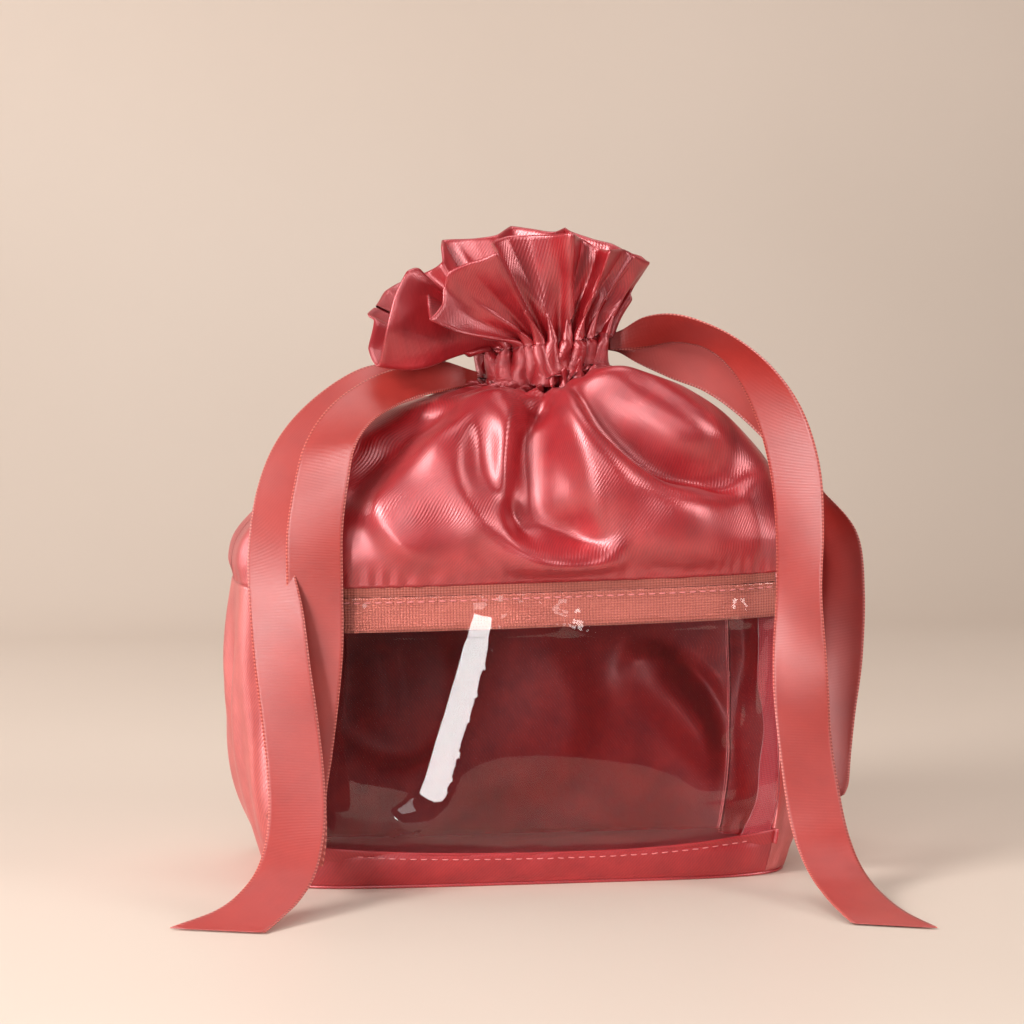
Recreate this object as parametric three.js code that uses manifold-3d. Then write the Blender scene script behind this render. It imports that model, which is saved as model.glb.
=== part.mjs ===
// A drawstring vanity bag: a boxy satin pouch with a clear window in its front, a domed satin top,
// and a gathered neck closed by two ribbons that run in opposite directions in one casing.
// Millimetres, +Z up. The window faces -Y. The origin is on the floor under the middle of the bag.
import * as THREE from "three";
import { mergeVertices } from "three/addons/utils/BufferGeometryUtils.js";
import Module from "manifold-3d";

const wasm = await Module();
wasm.setup();
const { lerp, smoothstep, euclideanModulo } = THREE.MathUtils;

// Overall sizes
const BASE_WIDTH = 240;
const BASE_DEPTH = 114;
const BELLY_WIDTH = 278;
const BELLY_DEPTH = 132;
const SEAM_WIDTH = 270;
const SEAM_DEPTH = 126;
const BODY_HEIGHT = 138;
const SHOULDER_HEIGHT = 88;
const NECK_WIDTH = 56;
const NECK_DEPTH = 42;
const NECK_OFFSET = 10;
const NECK_LEAN = 0.14;
const SHOULDER_CLOTH = 180;

// Squareness of the outline: 2 is an oval, and a higher number is nearer a rectangle.
const BASE_SQUARENESS = 5.6;
const LOW_SQUARENESS = 4.4;
const BELLY_SQUARENESS = 3.2;
const SEAM_SQUARENESS = 3.4;
const NECK_SQUARENESS = 2.1;

// Cloth, film and tape
const CLOTH = 0.8;
const FILM = 0.5;
const SEAM_GAP = 0.4;
const LAYER_GAP = 0.3;
const BASE_THICKNESS = 1.6;

// Front panel
const BAND_HEIGHT = 17;
const BAND_LAP = 8;
const TAPE_HEIGHT = 20;
const TAPE_LAP = 16;
const LAP_EASE = 6;
const BINDING_WIDTH_TOP = 9;
const BINDING_WIDTH_BASE = 15;

// Casing, gathers and ruffle
const CASING_HEIGHT = 20;
const CASING_STITCH = 1.4;
const CHANNEL = 2.8;
const MOUTH_WIDTH = 13;
const MOUTH_CLEAR = 3.8;
const GATHERS = 18;
const GATHER_OUT = 2.2;
const GATHER_IN = 6;
const HEADING = 46;
const RUFFLE_WIDTH = 134;
const RUFFLE_DEPTH = 86;
const RUFFLE_PLEAT = 6;
const RUFFLE_OFFSET = -7;
const RUFFLE_LEAN = 0.23;

// Ribbons
const RIBBON_WIDTH = 25;
const RIBBON_THICKNESS = 0.5;
const TRACK_CLEAR = 1;

// Shares of the body's height at which its outline is lowest on the flare and widest
const FLARE_SHARE = 0.15;
const BELLY_SHARE = 0.55;

// How finely the curved pieces are divided
const STEPS_PER_GATHER = 6;
const FRONT_STEPS = 18;
const GUSSET_STEPS = 12;
const OUTLINE_SAMPLES = 720;
const LOOP_STEPS = 30;
const STEPS_PER_ROW = 2;
const ROWS_BY_MOUTH = 5;
const WINDOW_LEVELS = [0.35, 0.65];

const colours = {
  satin: 0xc84646,
  gusset: 0xe0706c,
  tape: 0xcd8069,
  film: 0xf3ecec,
  ribbon: 0xe0645a,
  binding: 0xa8323a,
};

function material(colour, roughness, opacity = 1) {
  return new THREE.MeshStandardMaterial({
    color: colour,
    roughness,
    metalness: 0,
    opacity,
    transparent: opacity < 1,
  });
}

// Reads a row of keyed values at any height, along a smooth curve through them or straight between.
function keyed(keys, Interpolant = THREE.CubicInterpolant) {
  const interpolant = new Interpolant(
    keys.map((key) => key[0]),
    keys.flatMap((key) => key.slice(1)),
    keys[0].length - 1,
  );
  return (at) => [...interpolant.evaluate(at)];
}

// The outline of the bag at one level: a superellipse, from a soft box to an oval, read by the share
// of its perimeter. Share 0 is the left side seam, 0.25 the middle of the front, 0.5 the right side.
function outline(halfWidth, halfDepth, squareness) {
  const points = [];
  const lengths = [0];
  for (let i = 0; i <= OUTLINE_SAMPLES; i++) {
    const angle = Math.PI + (2 * Math.PI * i) / OUTLINE_SAMPLES;
    const across = Math.abs(Math.cos(angle) / halfWidth) ** squareness;
    const along = Math.abs(Math.sin(angle) / halfDepth) ** squareness;
    const radius = (across + along) ** (-1 / squareness);
    points.push(new THREE.Vector2(radius * Math.cos(angle), radius * Math.sin(angle)));
    if (i > 0) lengths.push(lengths[i - 1] + points[i].distanceTo(points[i - 1]));
  }
  const perimeter = lengths[OUTLINE_SAMPLES];
  const at = (share) => {
    const wanted = euclideanModulo(share, 1) * perimeter;
    let i = 1;
    while (i < OUTLINE_SAMPLES && lengths[i] < wanted) i++;
    const part = (wanted - lengths[i - 1]) / (lengths[i] - lengths[i - 1]);
    return points[i - 1].clone().lerp(points[i], part);
  };
  // The corner is where the outline crosses the diagonal of its own box.
  const cornerIndex = Math.round(
    (Math.atan2(halfDepth, halfWidth) / (2 * Math.PI)) * OUTLINE_SAMPLES,
  );
  return { at, perimeter, corner: lengths[cornerIndex] / perimeter };
}

// A closed solid from two grids of points, the outer and the inner face of a sheet.
// outerAt and innerAt take (across, up), each from 0 to 1, and return a Vector3.
function sheet(acrossStations, upStations, outerAt, innerAt) {
  const columns = acrossStations.length;
  const rows = upStations.length;
  const positions = [];
  for (const faceAt of [outerAt, innerAt]) {
    for (const up of upStations) {
      for (const across of acrossStations) positions.push(...faceAt(across, up).toArray());
    }
  }
  const index = [];
  const outer = (column, row) => row * columns + column;
  const inner = (column, row) => (rows + row) * columns + column;
  const quad = (a, b, c, d) => index.push(a, b, c, a, c, d);
  for (let row = 0; row < rows - 1; row++) {
    for (let column = 0; column < columns - 1; column++) {
      const [next, above] = [column + 1, row + 1];
      quad(outer(column, row), outer(next, row), outer(next, above), outer(column, above));
      quad(inner(column, row), inner(column, above), inner(next, above), inner(next, row));
    }
    quad(inner(0, row), outer(0, row), outer(0, row + 1), inner(0, row + 1));
    const last = columns - 1;
    quad(outer(last, row), inner(last, row), inner(last, row + 1), outer(last, row + 1));
  }
  for (let column = 0; column < columns - 1; column++) {
    const [next, top] = [column + 1, rows - 1];
    quad(inner(column, 0), inner(next, 0), outer(next, 0), outer(column, 0));
    quad(outer(column, top), outer(next, top), inner(next, top), inner(column, top));
  }
  const geometry = new THREE.BufferGeometry();
  geometry.setAttribute("position", new THREE.Float32BufferAttribute(positions, 3));
  geometry.setIndex(index);
  return geometry;
}

const evenly = (steps) => Array.from({ length: steps + 1 }, (_, i) => i / steps);

// Stations that crowd towards both ends, where a panel turns round a corner.
const crowded = (steps) => evenly(steps).map((share) => (1 - Math.cos(Math.PI * share)) / 2);

function solidFrom(geometry) {
  const bare = geometry.index ? geometry.clone() : geometry;
  bare.deleteAttribute("normal");
  bare.deleteAttribute("uv");
  const merged = mergeVertices(bare, 1e-4);
  return new wasm.Manifold(
    new wasm.Mesh({
      numProp: 3,
      vertProperties: merged.attributes.position.array,
      triVerts: new Uint32Array(merged.index.array),
    }),
  );
}

function geometryFrom(solid) {
  const mesh = solid.getMesh();
  const geometry = new THREE.BufferGeometry();
  geometry.setAttribute("position", new THREE.BufferAttribute(mesh.vertProperties, 3));
  geometry.setIndex(new THREE.BufferAttribute(mesh.triVerts, 1));
  return geometry;
}

const bag = new THREE.Group();

function addNode(name, geometry, finish) {
  const mesh = new THREE.Mesh(geometry, finish);
  mesh.name = name;
  geometry.computeVertexNormals();
  bag.add(mesh);
}

// Lower body: width, depth and squareness of the outline from the floor to the tape.
const lowWidth = (BASE_WIDTH + BELLY_WIDTH) / 2;
const lowDepth = (BASE_DEPTH + BELLY_DEPTH) / 2;
const bodyKeys = keyed([
  [0, BASE_WIDTH, BASE_DEPTH, BASE_SQUARENESS],
  [FLARE_SHARE * BODY_HEIGHT, lowWidth, lowDepth, LOW_SQUARENESS],
  [BELLY_SHARE * BODY_HEIGHT, BELLY_WIDTH, BELLY_DEPTH, BELLY_SQUARENESS],
  [BODY_HEIGHT, SEAM_WIDTH, SEAM_DEPTH, SEAM_SQUARENESS],
]);

const bodyOutlines = new Map();

function bodyOutline(height) {
  if (!bodyOutlines.has(height)) {
    const [width, depth, squareness] = bodyKeys(height);
    bodyOutlines.set(height, outline(width / 2, depth / 2, squareness));
  }
  return bodyOutlines.get(height);
}

// A point of the body's cloth, moved inwards by a depth along the outline's own normal.
function bodyPoint(share, height, inwards) {
  const ring = bodyOutline(height);
  const step = 0.5 / OUTLINE_SAMPLES;
  const here = ring.at(share);
  const tangent = ring.at(share + step).sub(ring.at(share - step)).normalize();
  return new THREE.Vector3(here.x - tangent.y * inwards, here.y + tangent.x * inwards, height);
}

// The two corner seams of one side of the bag, as shares of the perimeter at a height.
const panelEnds = {
  front: (ring) => [ring.corner, 0.5 - ring.corner],
  right: (ring) => [0.5 - ring.corner, 0.5 + ring.corner],
  back: (ring) => [0.5 + ring.corner, 1 - ring.corner],
  left: (ring) => [-ring.corner, ring.corner],
};

const satin = () => material(colours.satin, 0.35);
const wallFoot = BASE_THICKNESS + LAYER_GAP;
const tapeFoot = BODY_HEIGHT - TAPE_HEIGHT;
const filmTop = tapeFoot + TAPE_LAP;
const bandTop = wallFoot + BAND_HEIGHT;
const filmFoot = bandTop - BAND_LAP;
const seamTop = BODY_HEIGHT + LAYER_GAP;

// Every wall panel is divided at the same heights, so that neighbours follow one another along a seam.
const levels = [
  wallFoot,
  filmFoot,
  bandTop,
  bandTop + LAP_EASE / 2,
  bandTop + LAP_EASE,
  ...WINDOW_LEVELS.map((share) => lerp(bandTop, tapeFoot, share)),
  tapeFoot - LAP_EASE,
  tapeFoot - LAP_EASE / 2,
  tapeFoot,
  filmTop,
  BODY_HEIGHT,
];

// One wall panel between two corner seams and two of the levels. depthAt gives how far inside the
// outline its outer face lies at a height.
function wallPanel({ side, from, to, steps, thickness, depthAt = () => 0 }) {
  const pointAt = (extra) => (across, height) => {
    const ring = bodyOutline(height);
    const margin = SEAM_GAP / 2 / ring.perimeter;
    const [start, end] = panelEnds[side](ring);
    const share = lerp(start + margin, end - margin, across);
    return bodyPoint(share, height, depthAt(height) + extra);
  };
  const heights = levels.filter((height) => height >= from && height <= to);
  return sheet(crowded(steps), heights, pointAt(0), pointAt(thickness));
}

// The base is the outline at the floor, one flat piece.
const baseShape = new THREE.Shape();
const baseSteps = 4 * FRONT_STEPS;
evenly(baseSteps).slice(0, -1).forEach((share, i) => {
  const { x, y } = bodyOutline(0).at(share);
  if (i === 0) baseShape.moveTo(x, y);
  else baseShape.lineTo(x, y);
});
baseShape.closePath();
addNode(
  "base_panel",
  new THREE.ExtrudeGeometry(baseShape, { depth: BASE_THICKNESS, bevelEnabled: false }),
  satin(),
);

addNode(
  "front_base_band",
  wallPanel({ side: "front", from: wallFoot, to: bandTop, steps: FRONT_STEPS, thickness: CLOTH }),
  satin(),
);

// The film is tucked behind the band at its foot and lies over the tape at its top.
const behindBand = CLOTH + LAYER_GAP;
const overTape = FILM + LAYER_GAP;
const filmDepth = (height) => {
  const tucked = 1 - smoothstep(height, bandTop, bandTop + LAP_EASE);
  const proud = smoothstep(height, tapeFoot - LAP_EASE, tapeFoot);
  return behindBand * tucked - overTape * proud;
};
addNode(
  "window_film",
  wallPanel({
    side: "front",
    from: filmFoot,
    to: filmTop,
    steps: FRONT_STEPS,
    thickness: FILM,
    depthAt: filmDepth,
  }),
  material(colours.film, 0.06, 0.3),
);

addNode(
  "window_top_tape",
  wallPanel({ side: "front", from: tapeFoot, to: BODY_HEIGHT, steps: FRONT_STEPS, thickness: CLOTH }),
  material(colours.tape, 0.85),
);

for (const side of ["left", "right"]) {
  addNode(
    side + "_gusset",
    wallPanel({ side, from: wallFoot, to: BODY_HEIGHT, steps: GUSSET_STEPS, thickness: CLOTH }),
    material(colours.gusset, 0.4),
  );
}

addNode(
  "back_panel",
  wallPanel({ side: "back", from: wallFoot, to: BODY_HEIGHT, steps: FRONT_STEPS, thickness: CLOTH }),
  satin(),
);

// The bound seam allowances stand inwards from the front corner seams, wider towards the base.
function seamBinding(side) {
  const depthAtCorner = behindBand + FILM + LAYER_GAP;
  const edge = (thicknessShare) => (across, height) => {
    const ring = bodyOutline(height);
    const share = side === "left" ? ring.corner : 0.5 - ring.corner;
    const up = (height - wallFoot) / (BODY_HEIGHT - wallFoot);
    const width = lerp(BINDING_WIDTH_BASE, BINDING_WIDTH_TOP, up);
    const foot = bodyPoint(share, height, depthAtCorner);
    const tip = bodyPoint(share, height, depthAtCorner + width);
    const sideways = tip.clone().sub(foot).normalize().cross(new THREE.Vector3(0, 0, 1));
    return foot.lerp(tip, across).addScaledVector(sideways, CLOTH * thicknessShare);
  };
  return sheet(evenly(2), levels, edge(0.5), edge(-0.5));
}
for (const side of ["left", "right"]) {
  addNode(side + "_seam_binding", seamBinding(side), material(colours.binding, 0.6));
}

// Top of the bag: rings from the tape, over the shoulder, through the casing and out to the ruffle's
// edge. Each ring is [way, height, middle x, width, depth, squareness, lean, saddle, gather], where
// way is the length along the cloth, lean is how much a ring rises per mm of x, saddle is how much
// higher its front and back stand than its two ends, and gather is the depth of its folds.
const casingFoot = BODY_HEIGHT + SHOULDER_HEIGHT;
const casingTop = casingFoot + CASING_HEIGHT;
const WAY = { seam: 0, casingFoot: SHOULDER_CLOTH, casingTop: SHOULDER_CLOTH + CASING_HEIGHT };
const ruffleWay = (share) => WAY.casingTop + HEADING * share;

// A shoulder ring. toSeam gives how far its width and depth lie from the neck's towards the seam's,
// and toNeck how far its middle and its lean have come towards the neck's.
function shoulderRing({ along, rise, toSeam, toNeck, squareness, gather }) {
  return [
    SHOULDER_CLOTH * along,
    BODY_HEIGHT + SHOULDER_HEIGHT * rise,
    NECK_OFFSET * toNeck.middle,
    lerp(NECK_WIDTH, SEAM_WIDTH, toSeam.width),
    lerp(NECK_DEPTH, SEAM_DEPTH, toSeam.depth),
    squareness,
    NECK_LEAN * toNeck.lean,
    0,
    gather,
  ];
}

// A ruffle ring. out gives how far its middle, width, depth, lean and gather have come from the
// neck's towards those of the ruffle's edge. Its rise and saddle are shares of the ruffle's length.
function ruffleRing({ along, rise, saddle, out }) {
  return [
    ruffleWay(along),
    casingTop + HEADING * rise,
    lerp(NECK_OFFSET, RUFFLE_OFFSET, out.middle),
    lerp(NECK_WIDTH, RUFFLE_WIDTH, out.width),
    lerp(NECK_DEPTH, RUFFLE_DEPTH, out.depth),
    NECK_SQUARENESS,
    lerp(NECK_LEAN, RUFFLE_LEAN, out.lean),
    HEADING * saddle,
    lerp(GATHER_OUT, RUFFLE_PLEAT, out.gather),
  ];
}

const neckRing = (way, height) => [
  way,
  height,
  NECK_OFFSET,
  NECK_WIDTH,
  NECK_DEPTH,
  NECK_SQUARENESS,
  NECK_LEAN,
  0,
  GATHER_OUT,
];

const shoulderRings = [
  [0.1, 0.2, 0.981, 1.105, 0, 0, 3.1, 0.6],
  [0.2, 0.39, 0.874, 1.075, 0.1, 0.07, 2.8, 1.6],
  [0.322, 0.59, 0.76, 0.94, 0.3, 0.14, 2.6, 2.4],
  [0.444, 0.77, 0.621, 0.745, 0.3, 0.21, 2.5, 3.2],
  [0.589, 0.91, 0.42, 0.49, 0.6, 0.36, 2.4, 3.6],
  [0.744, 0.975, 0.205, 0.235, 0.8, 0.64, 2.3, 3.4],
  [0.878, 0.985, 0.079, 0.077, 0.9, 0.86, 2.2, 2.8],
].map(([along, rise, width, depth, middle, lean, squareness, gather]) =>
  shoulderRing({
    along,
    rise,
    toSeam: { width, depth },
    toNeck: { middle, lean },
    squareness,
    gather,
  }),
);

const ruffleRings = [
  [0.2, 0.152, 0.022, 0.06, 0.18, 0.227, 0.11, 0.26],
  [0.45, 0.304, 0.152, 0.3, 0.46, 0.5, 0.33, 0.53],
  [0.72, 0.413, 0.348, 0.65, 0.74, 0.773, 0.67, 0.79],
  [1, 0.457, 0.587, 1, 1, 1, 1, 1],
].map(([along, rise, saddle, middle, width, depth, lean, gather]) =>
  ruffleRing({ along, rise, saddle, out: { middle, width, depth, lean, gather } }),
);

const ringRows = [
  [WAY.seam, seamTop, 0, SEAM_WIDTH, SEAM_DEPTH, SEAM_SQUARENESS, 0, 0, 0],
  ...shoulderRings,
  neckRing(WAY.casingFoot, casingFoot),
  neckRing(WAY.casingTop, casingTop),
  ...ruffleRings,
];
const topKeys = keyed(ringRows);
const casingKeys = keyed(ringRows, THREE.LinearInterpolant);
const topOutlines = new Map();
const inCasing = (way) => way >= WAY.casingFoot && way <= WAY.casingTop;

function topRing(way) {
  if (!topOutlines.has(way)) {
    const keys = inCasing(way) ? casingKeys : topKeys;
    const [height, middle, width, depth, squareness, lean, saddle, gather] = keys(way);
    const ring = outline(width / 2, depth / 2, squareness);
    topOutlines.set(way, { ...ring, height, middle, halfWidth: width / 2, lean, saddle, gather });
  }
  return topOutlines.get(way);
}

// The smooth form of the top before it is gathered.
function topPoint(share, way) {
  const ring = topRing(way);
  const { x, y } = ring.at(share);
  const rise = ring.lean * x + ring.saddle * (1 - (x / ring.halfWidth) ** 2);
  return new THREE.Vector3(ring.middle + x, y, ring.height + rise);
}

// In the casing, a straight band, the normal is level.
function topNormal(share, way) {
  const step = 1 / OUTLINE_SAMPLES;
  const reach = 1.5;
  const around = topPoint(share + step, way).sub(topPoint(share - step, way));
  if (inCasing(way)) return around.cross(new THREE.Vector3(0, 0, 1)).normalize();
  const low = Math.max(way - reach, WAY.seam);
  const high = Math.min(way + reach, ruffleWay(1));
  return around.cross(topPoint(share, high).sub(topPoint(share, low))).normalize();
}

// How far a gather stands out at a share of the perimeter, from -1 in a valley to 1 on a ridge.
// A valley lies on each side seam.
const gatherWave = (share) => -Math.cos(2 * Math.PI * GATHERS * share);

// The outer face of the gathered top. In the casing the folds only stand outwards, so that the
// channel inside stays smooth.
function topOuter(share, way) {
  const wave = gatherWave(share);
  const fold = topRing(way).gather * (inCasing(way) ? (1 + wave) / 2 : wave);
  return topPoint(share, way).addScaledVector(topNormal(share, way), fold);
}

// The inner face. In the casing it lies behind the channel, with the bunched cloth of the inner
// layer standing inwards. The ruffle is the same cloth folded double.
const casingWall = 2 * CLOTH + CHANNEL;
function topInner(share, way) {
  if (inCasing(way)) {
    const bunch = (GATHER_IN * (1 - gatherWave(share))) / 2;
    return topPoint(share, way).addScaledVector(topNormal(share, way), -(casingWall + bunch));
  }
  const layers = way > WAY.casingTop ? 2 : 1;
  return topOuter(share, way).addScaledVector(topNormal(share, way), -layers * CLOTH);
}

// The channel is a smooth band-shaped space right round the neck, between the two rows of stitches.
const channelHeight = CASING_HEIGHT - 2 * CASING_STITCH;
function channelSolid() {
  const foot = WAY.casingFoot + CASING_STITCH;
  const ways = [foot, foot + channelHeight];
  const shares = evenly(GATHERS * STEPS_PER_GATHER);
  const slack = 0.5 / shares.length;
  const face = (depth) => (share, way) =>
    topPoint(share, way).addScaledVector(topNormal(share, way), -depth);
  const half = (from) =>
    solidFrom(
      sheet(
        shares.filter((share) => share > from - slack && share < from + 0.5 + slack),
        ways,
        face(CLOTH),
        face(CLOTH + CHANNEL),
      ),
    );
  return half(0).add(half(0.5));
}

// The mouths are where the side seams stay open over the casing. They cut the outer wall only.
function mouthSolid(side) {
  const out = GATHER_OUT + 1;
  const deep = CLOTH + CHANNEL / 2;
  const end = side * (NECK_WIDTH / 2);
  const height = channelHeight + NECK_LEAN * (out + deep);
  const box = new THREE.BoxGeometry(out + deep, MOUTH_WIDTH, height);
  const middle = casingFoot + CASING_HEIGHT / 2 + NECK_LEAN * end;
  box.translate(NECK_OFFSET + end + (side * (out - deep)) / 2, 0, middle);
  return solidFrom(box);
}

// One half of the top between the two side seams.
function topPanel(from) {
  const count = (GATHERS * STEPS_PER_GATHER) / 2;
  const ways = ringRows.map((row) => row[0]);
  const face = (pointAt) => (across, way) => {
    const margin = SEAM_GAP / 2 / topRing(way).perimeter;
    return pointAt(lerp(from + margin, from + 0.5 - margin, across), way);
  };
  const panel = solidFrom(sheet(evenly(count), ways, face(topOuter), face(topInner)));
  return geometryFrom(panel.subtract(channelSolid()).subtract(mouthSolid(-1)).subtract(mouthSolid(1)));
}
addNode("front_top_panel", topPanel(0), satin());
addNode("back_top_panel", topPanel(0.5), satin());

// The two ribbons lie bunched, one above the other in the channel. A track is the middle of one, as
// a share of the casing's height.
const bunched = channelHeight / 2 - TRACK_CLEAR;
const lowerTrack = (CASING_STITCH + channelHeight / 4) / CASING_HEIGHT;
const upperTrack = 1 - lowerTrack;
const trackWay = (track) => lerp(WAY.casingFoot, WAY.casingTop, track);

// Ribbon tails. A row is [x, y, z, width, across x, across y, across z]: the middle of the ribbon, its
// width there and the way its width points. The rows are chosen by hand from how the ends fall. The
// last rows turn across the strip more and more, into the slanted cut at its end.
const flat = RIBBON_WIDTH;
const leftFrontTail = [
  [-21, -3.2, 227.5, bunched, 0, 0, 1],
  [-27, -5, 229, 9, 0, 0.1, 1],
  [-37, -10, 230, 15, -0.1, 0.5, 0.85],
  [-50, -17, 228.5, 21, -0.2, 0.75, 0.65],
  [-67, -28, 223.5, flat, -0.4, 0.75, 0.5],
  [-83, -43, 214.5, flat, -0.75, 0.65, 0.2],
  [-94, -56, 201, flat, -1, 0.5, -0.05],
  [-99, -64, 183, flat, -1, 0.25, -0.1],
  [-102, -67, 162, flat, -1, 0.15, -0.05],
  [-102, -66.5, 138, flat, -1, 0.1, 0],
  [-102, -66, 112, flat, -1, 0.1, 0],
  [-104, -65.5, 88, flat, -1, 0.1, 0],
  [-107, -66, 64, flat, -1, 0.1, 0],
  [-110, -68, 42, flat, -1, 0.1, 0],
  [-112, -72, 25, 33, -0.75, 0.1, 0.66],
];
const leftBackTail = [
  [-21, 3.2, 227.5, bunched, 0, 0, 1],
  [-27, 4.5, 229, 9, 0, 0.2, 1],
  [-37, 5, 230.5, 15, -0.1, 0.5, 0.85],
  [-51, 2, 229.5, 21, -0.3, 0.7, 0.65],
  [-71, -4, 225.5, flat, -0.45, 0.7, 0.55],
  [-91, -11, 213.5, flat, -0.6, 0.7, 0.45],
  [-107, -20, 196.5, flat, -0.65, 0.75, 0.4],
  [-117, -34, 176, flat, -0.7, 0.8, 0.3],
  [-121, -54, 152, flat, -0.85, 0.7, 0.1],
  [-119, -67, 128, flat, -1, 0.4, 0],
  [-117, -73, 105, flat, -1, 0.25, 0],
  [-114, -77.5, 80, flat, -1, 0.1, 0],
  [-112, -84, 57, flat, -1, 0, 0],
  [-112.5, -94, 37, flat, -1, 0.05, 0.05],
  [-117, -105, 21, flat, -0.97, 0.15, 0.12],
  [-125, -116, 11.5, 25.5, -0.95, 0.25, 0.15],
  [-135.5, -125.5, 5.4, 29.5, -0.96, 0.3, 0.08],
  [-148.5, -132, 0.9, 41.9, -0.94, 0.33, 0],
];
const rightFrontTail = [
  [41, -3.2, 245, bunched, 0, 0, 1],
  [47, -4.5, 246.5, 10, 0, -0.2, 1],
  [57, -8, 250, 18, 0, -0.6, 0.9],
  [72, -15, 251, flat, 0.1, -1, 0.55],
  [89, -26, 245, flat, 0.3, -1, 0.3],
  [102, -39, 232, flat, 0.6, -1, 0.25],
  [111, -52, 213, flat, 0.8, -0.8, 0.2],
  [116, -62, 189, flat, 0.85, -0.7, 0.1],
  [117, -68, 163, flat, 0.8, -0.75, 0],
  [116, -72, 132, flat, 0.75, -0.8, 0],
  [116, -75, 100, flat, 0.85, -0.4, 0],
  [117, -79, 72, flat, 0.96, 0, 0],
  [119, -84, 49, flat, 1, 0, 0],
  [121, -90.5, 31, flat, 1, -0.1, 0],
  [123, -100, 19.5, flat, 0.98, -0.17, 0],
  [124.8, -114, 12, 25.5, 0.98, -0.17, 0],
  [127, -132, 7.2, 26, 0.98, -0.2, 0],
  [130.5, -148, 3.8, 29, 0.96, -0.27, 0],
  [136.2, -163, 0.9, 36.3, 0.93, -0.37, 0],
];
const rightBackTail = [
  [41, 3.2, 245, bunched, 0, 0, 1],
  [47, 4.5, 244.5, 10, 0, 0.2, 1],
  [57, 5, 242, 17, 0.1, 0.4, 0.9],
  [73, 2, 238, 23, 0.3, 0.45, 0.85],
  [91, -5, 231.5, flat, 0.5, 0.45, 0.75],
  [108, -14, 217.5, flat, 0.6, 0.5, 0.6],
  [123.5, -23, 198, flat, 0.5, 0.75, 0.5],
  [136, -31, 179, flat, 0.05, 1, 0.3],
  [143, -37, 157, flat, -0.5, 1, 0.1],
  [144.5, -41, 130, flat, -0.6, 1, 0],
  [142, -46, 102, flat, -0.6, 0.95, 0],
  [137, -51, 76, flat, -0.75, 0.9, 0],
  [133, -57, 52, flat, -0.85, 0.85, 0],
  [128, -62, 32, 33, -0.7, 0.7, -0.62],
];

// The rows were chosen round a bag of these sizes. They stretch with the body and the shoulder, move
// with the casing above them, and the first few also move with the mouth that they leave.
const CHOSEN_ROUND = { width: 278, depth: 132, seam: 138, casingFoot: 226, top: 300 };
const CHOSEN_MOUTHS = { left: [-18, 0, 227.8], right: [38, 0, 244.2] };
const tailHeight = keyed(
  [
    [0, 0],
    [CHOSEN_ROUND.seam, BODY_HEIGHT],
    [CHOSEN_ROUND.casingFoot, casingFoot],
    [CHOSEN_ROUND.top, casingFoot + CHOSEN_ROUND.top - CHOSEN_ROUND.casingFoot],
  ],
  THREE.LinearInterpolant,
);

function stretched([x, y, z]) {
  const across = (x * BELLY_WIDTH) / CHOSEN_ROUND.width;
  const along = (y * BELLY_DEPTH) / CHOSEN_ROUND.depth;
  return new THREE.Vector3(across, along, tailHeight(z)[0]);
}

function tailPoints({ name, share, track }, rows) {
  const shift = topPoint(share, trackWay(track)).sub(stretched(CHOSEN_MOUTHS[name]));
  return rows.map((row, i) => {
    const follow = Math.max(0, 1 - i / ROWS_BY_MOUTH);
    const point = stretched(row);
    point.y = lerp(point.y, row[1], follow);
    return point.addScaledVector(shift, follow);
  });
}

// Smooth stations along a tail: its middle and its width direction follow curves through the rows.
function tailStations(mouth, rows) {
  const directions = rows.map((row) => new THREE.Vector3(...row.slice(4)).normalize());
  const middle = new THREE.CatmullRomCurve3(tailPoints(mouth, rows), false, "catmullrom", 0.5);
  const across = new THREE.CatmullRomCurve3(directions, false, "catmullrom", 0.5);
  return evenly(STEPS_PER_ROW * (rows.length - 1)).map((share) => {
    const place = share * (rows.length - 1);
    const row = Math.min(Math.floor(place), rows.length - 2);
    return {
      middle: middle.getPoint(share),
      across: across.getPoint(share).normalize(),
      width: lerp(rows[row][3], rows[row + 1][3], place - row),
    };
  });
}

// The part of a ribbon inside the channel, bunched narrow so that two fit one above the other. It
// starts and ends beside its own mouth and passes straight across the other one.
function loopStations(mouth) {
  const way = trackWay(mouth.track);
  const clear = MOUTH_CLEAR / topRing(way).perimeter;
  const midChannel = CLOTH + CHANNEL / 2;
  return evenly(LOOP_STEPS).map((part) => {
    const share = lerp(mouth.share + clear, mouth.share + 1 - clear, part);
    return {
      middle: topPoint(share, way).addScaledVector(topNormal(share, way), -midChannel),
      across: new THREE.Vector3(0, 0, 1),
      width: bunched,
    };
  });
}

// Turns each station's width direction to agree with the one before, so that the strip never flips.
function alignWidths(stations) {
  stations.forEach((station, i) => {
    if (i > 0 && station.across.dot(stations[i - 1].across) < 0) station.across.negate();
  });
}

// A ribbon carried along its stations. Where it is bunched narrow, it lies in more layers.
function ribbonSolid(stations) {
  const corners = stations.map(({ middle, across, width }, i) => {
    const before = stations[Math.max(i - 1, 0)].middle;
    const after = stations[Math.min(i + 1, stations.length - 1)].middle;
    const out = after.clone().sub(before).cross(across).normalize();
    const layers = Math.max(1, RIBBON_WIDTH / width);
    const corner = (side, face) =>
      middle
        .clone()
        .addScaledVector(across, (side * width) / 2)
        .addScaledVector(out, (face * layers * RIBBON_THICKNESS) / 2);
    return { front: [corner(-1, -1), corner(1, -1)], back: [corner(-1, 1), corner(1, 1)] };
  });
  const rows = stations.map((_, i) => i);
  const face = (name) => (edge, row) => corners[row][name][edge];
  return sheet([0, 1], rows, face("front"), face("back"));
}

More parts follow.
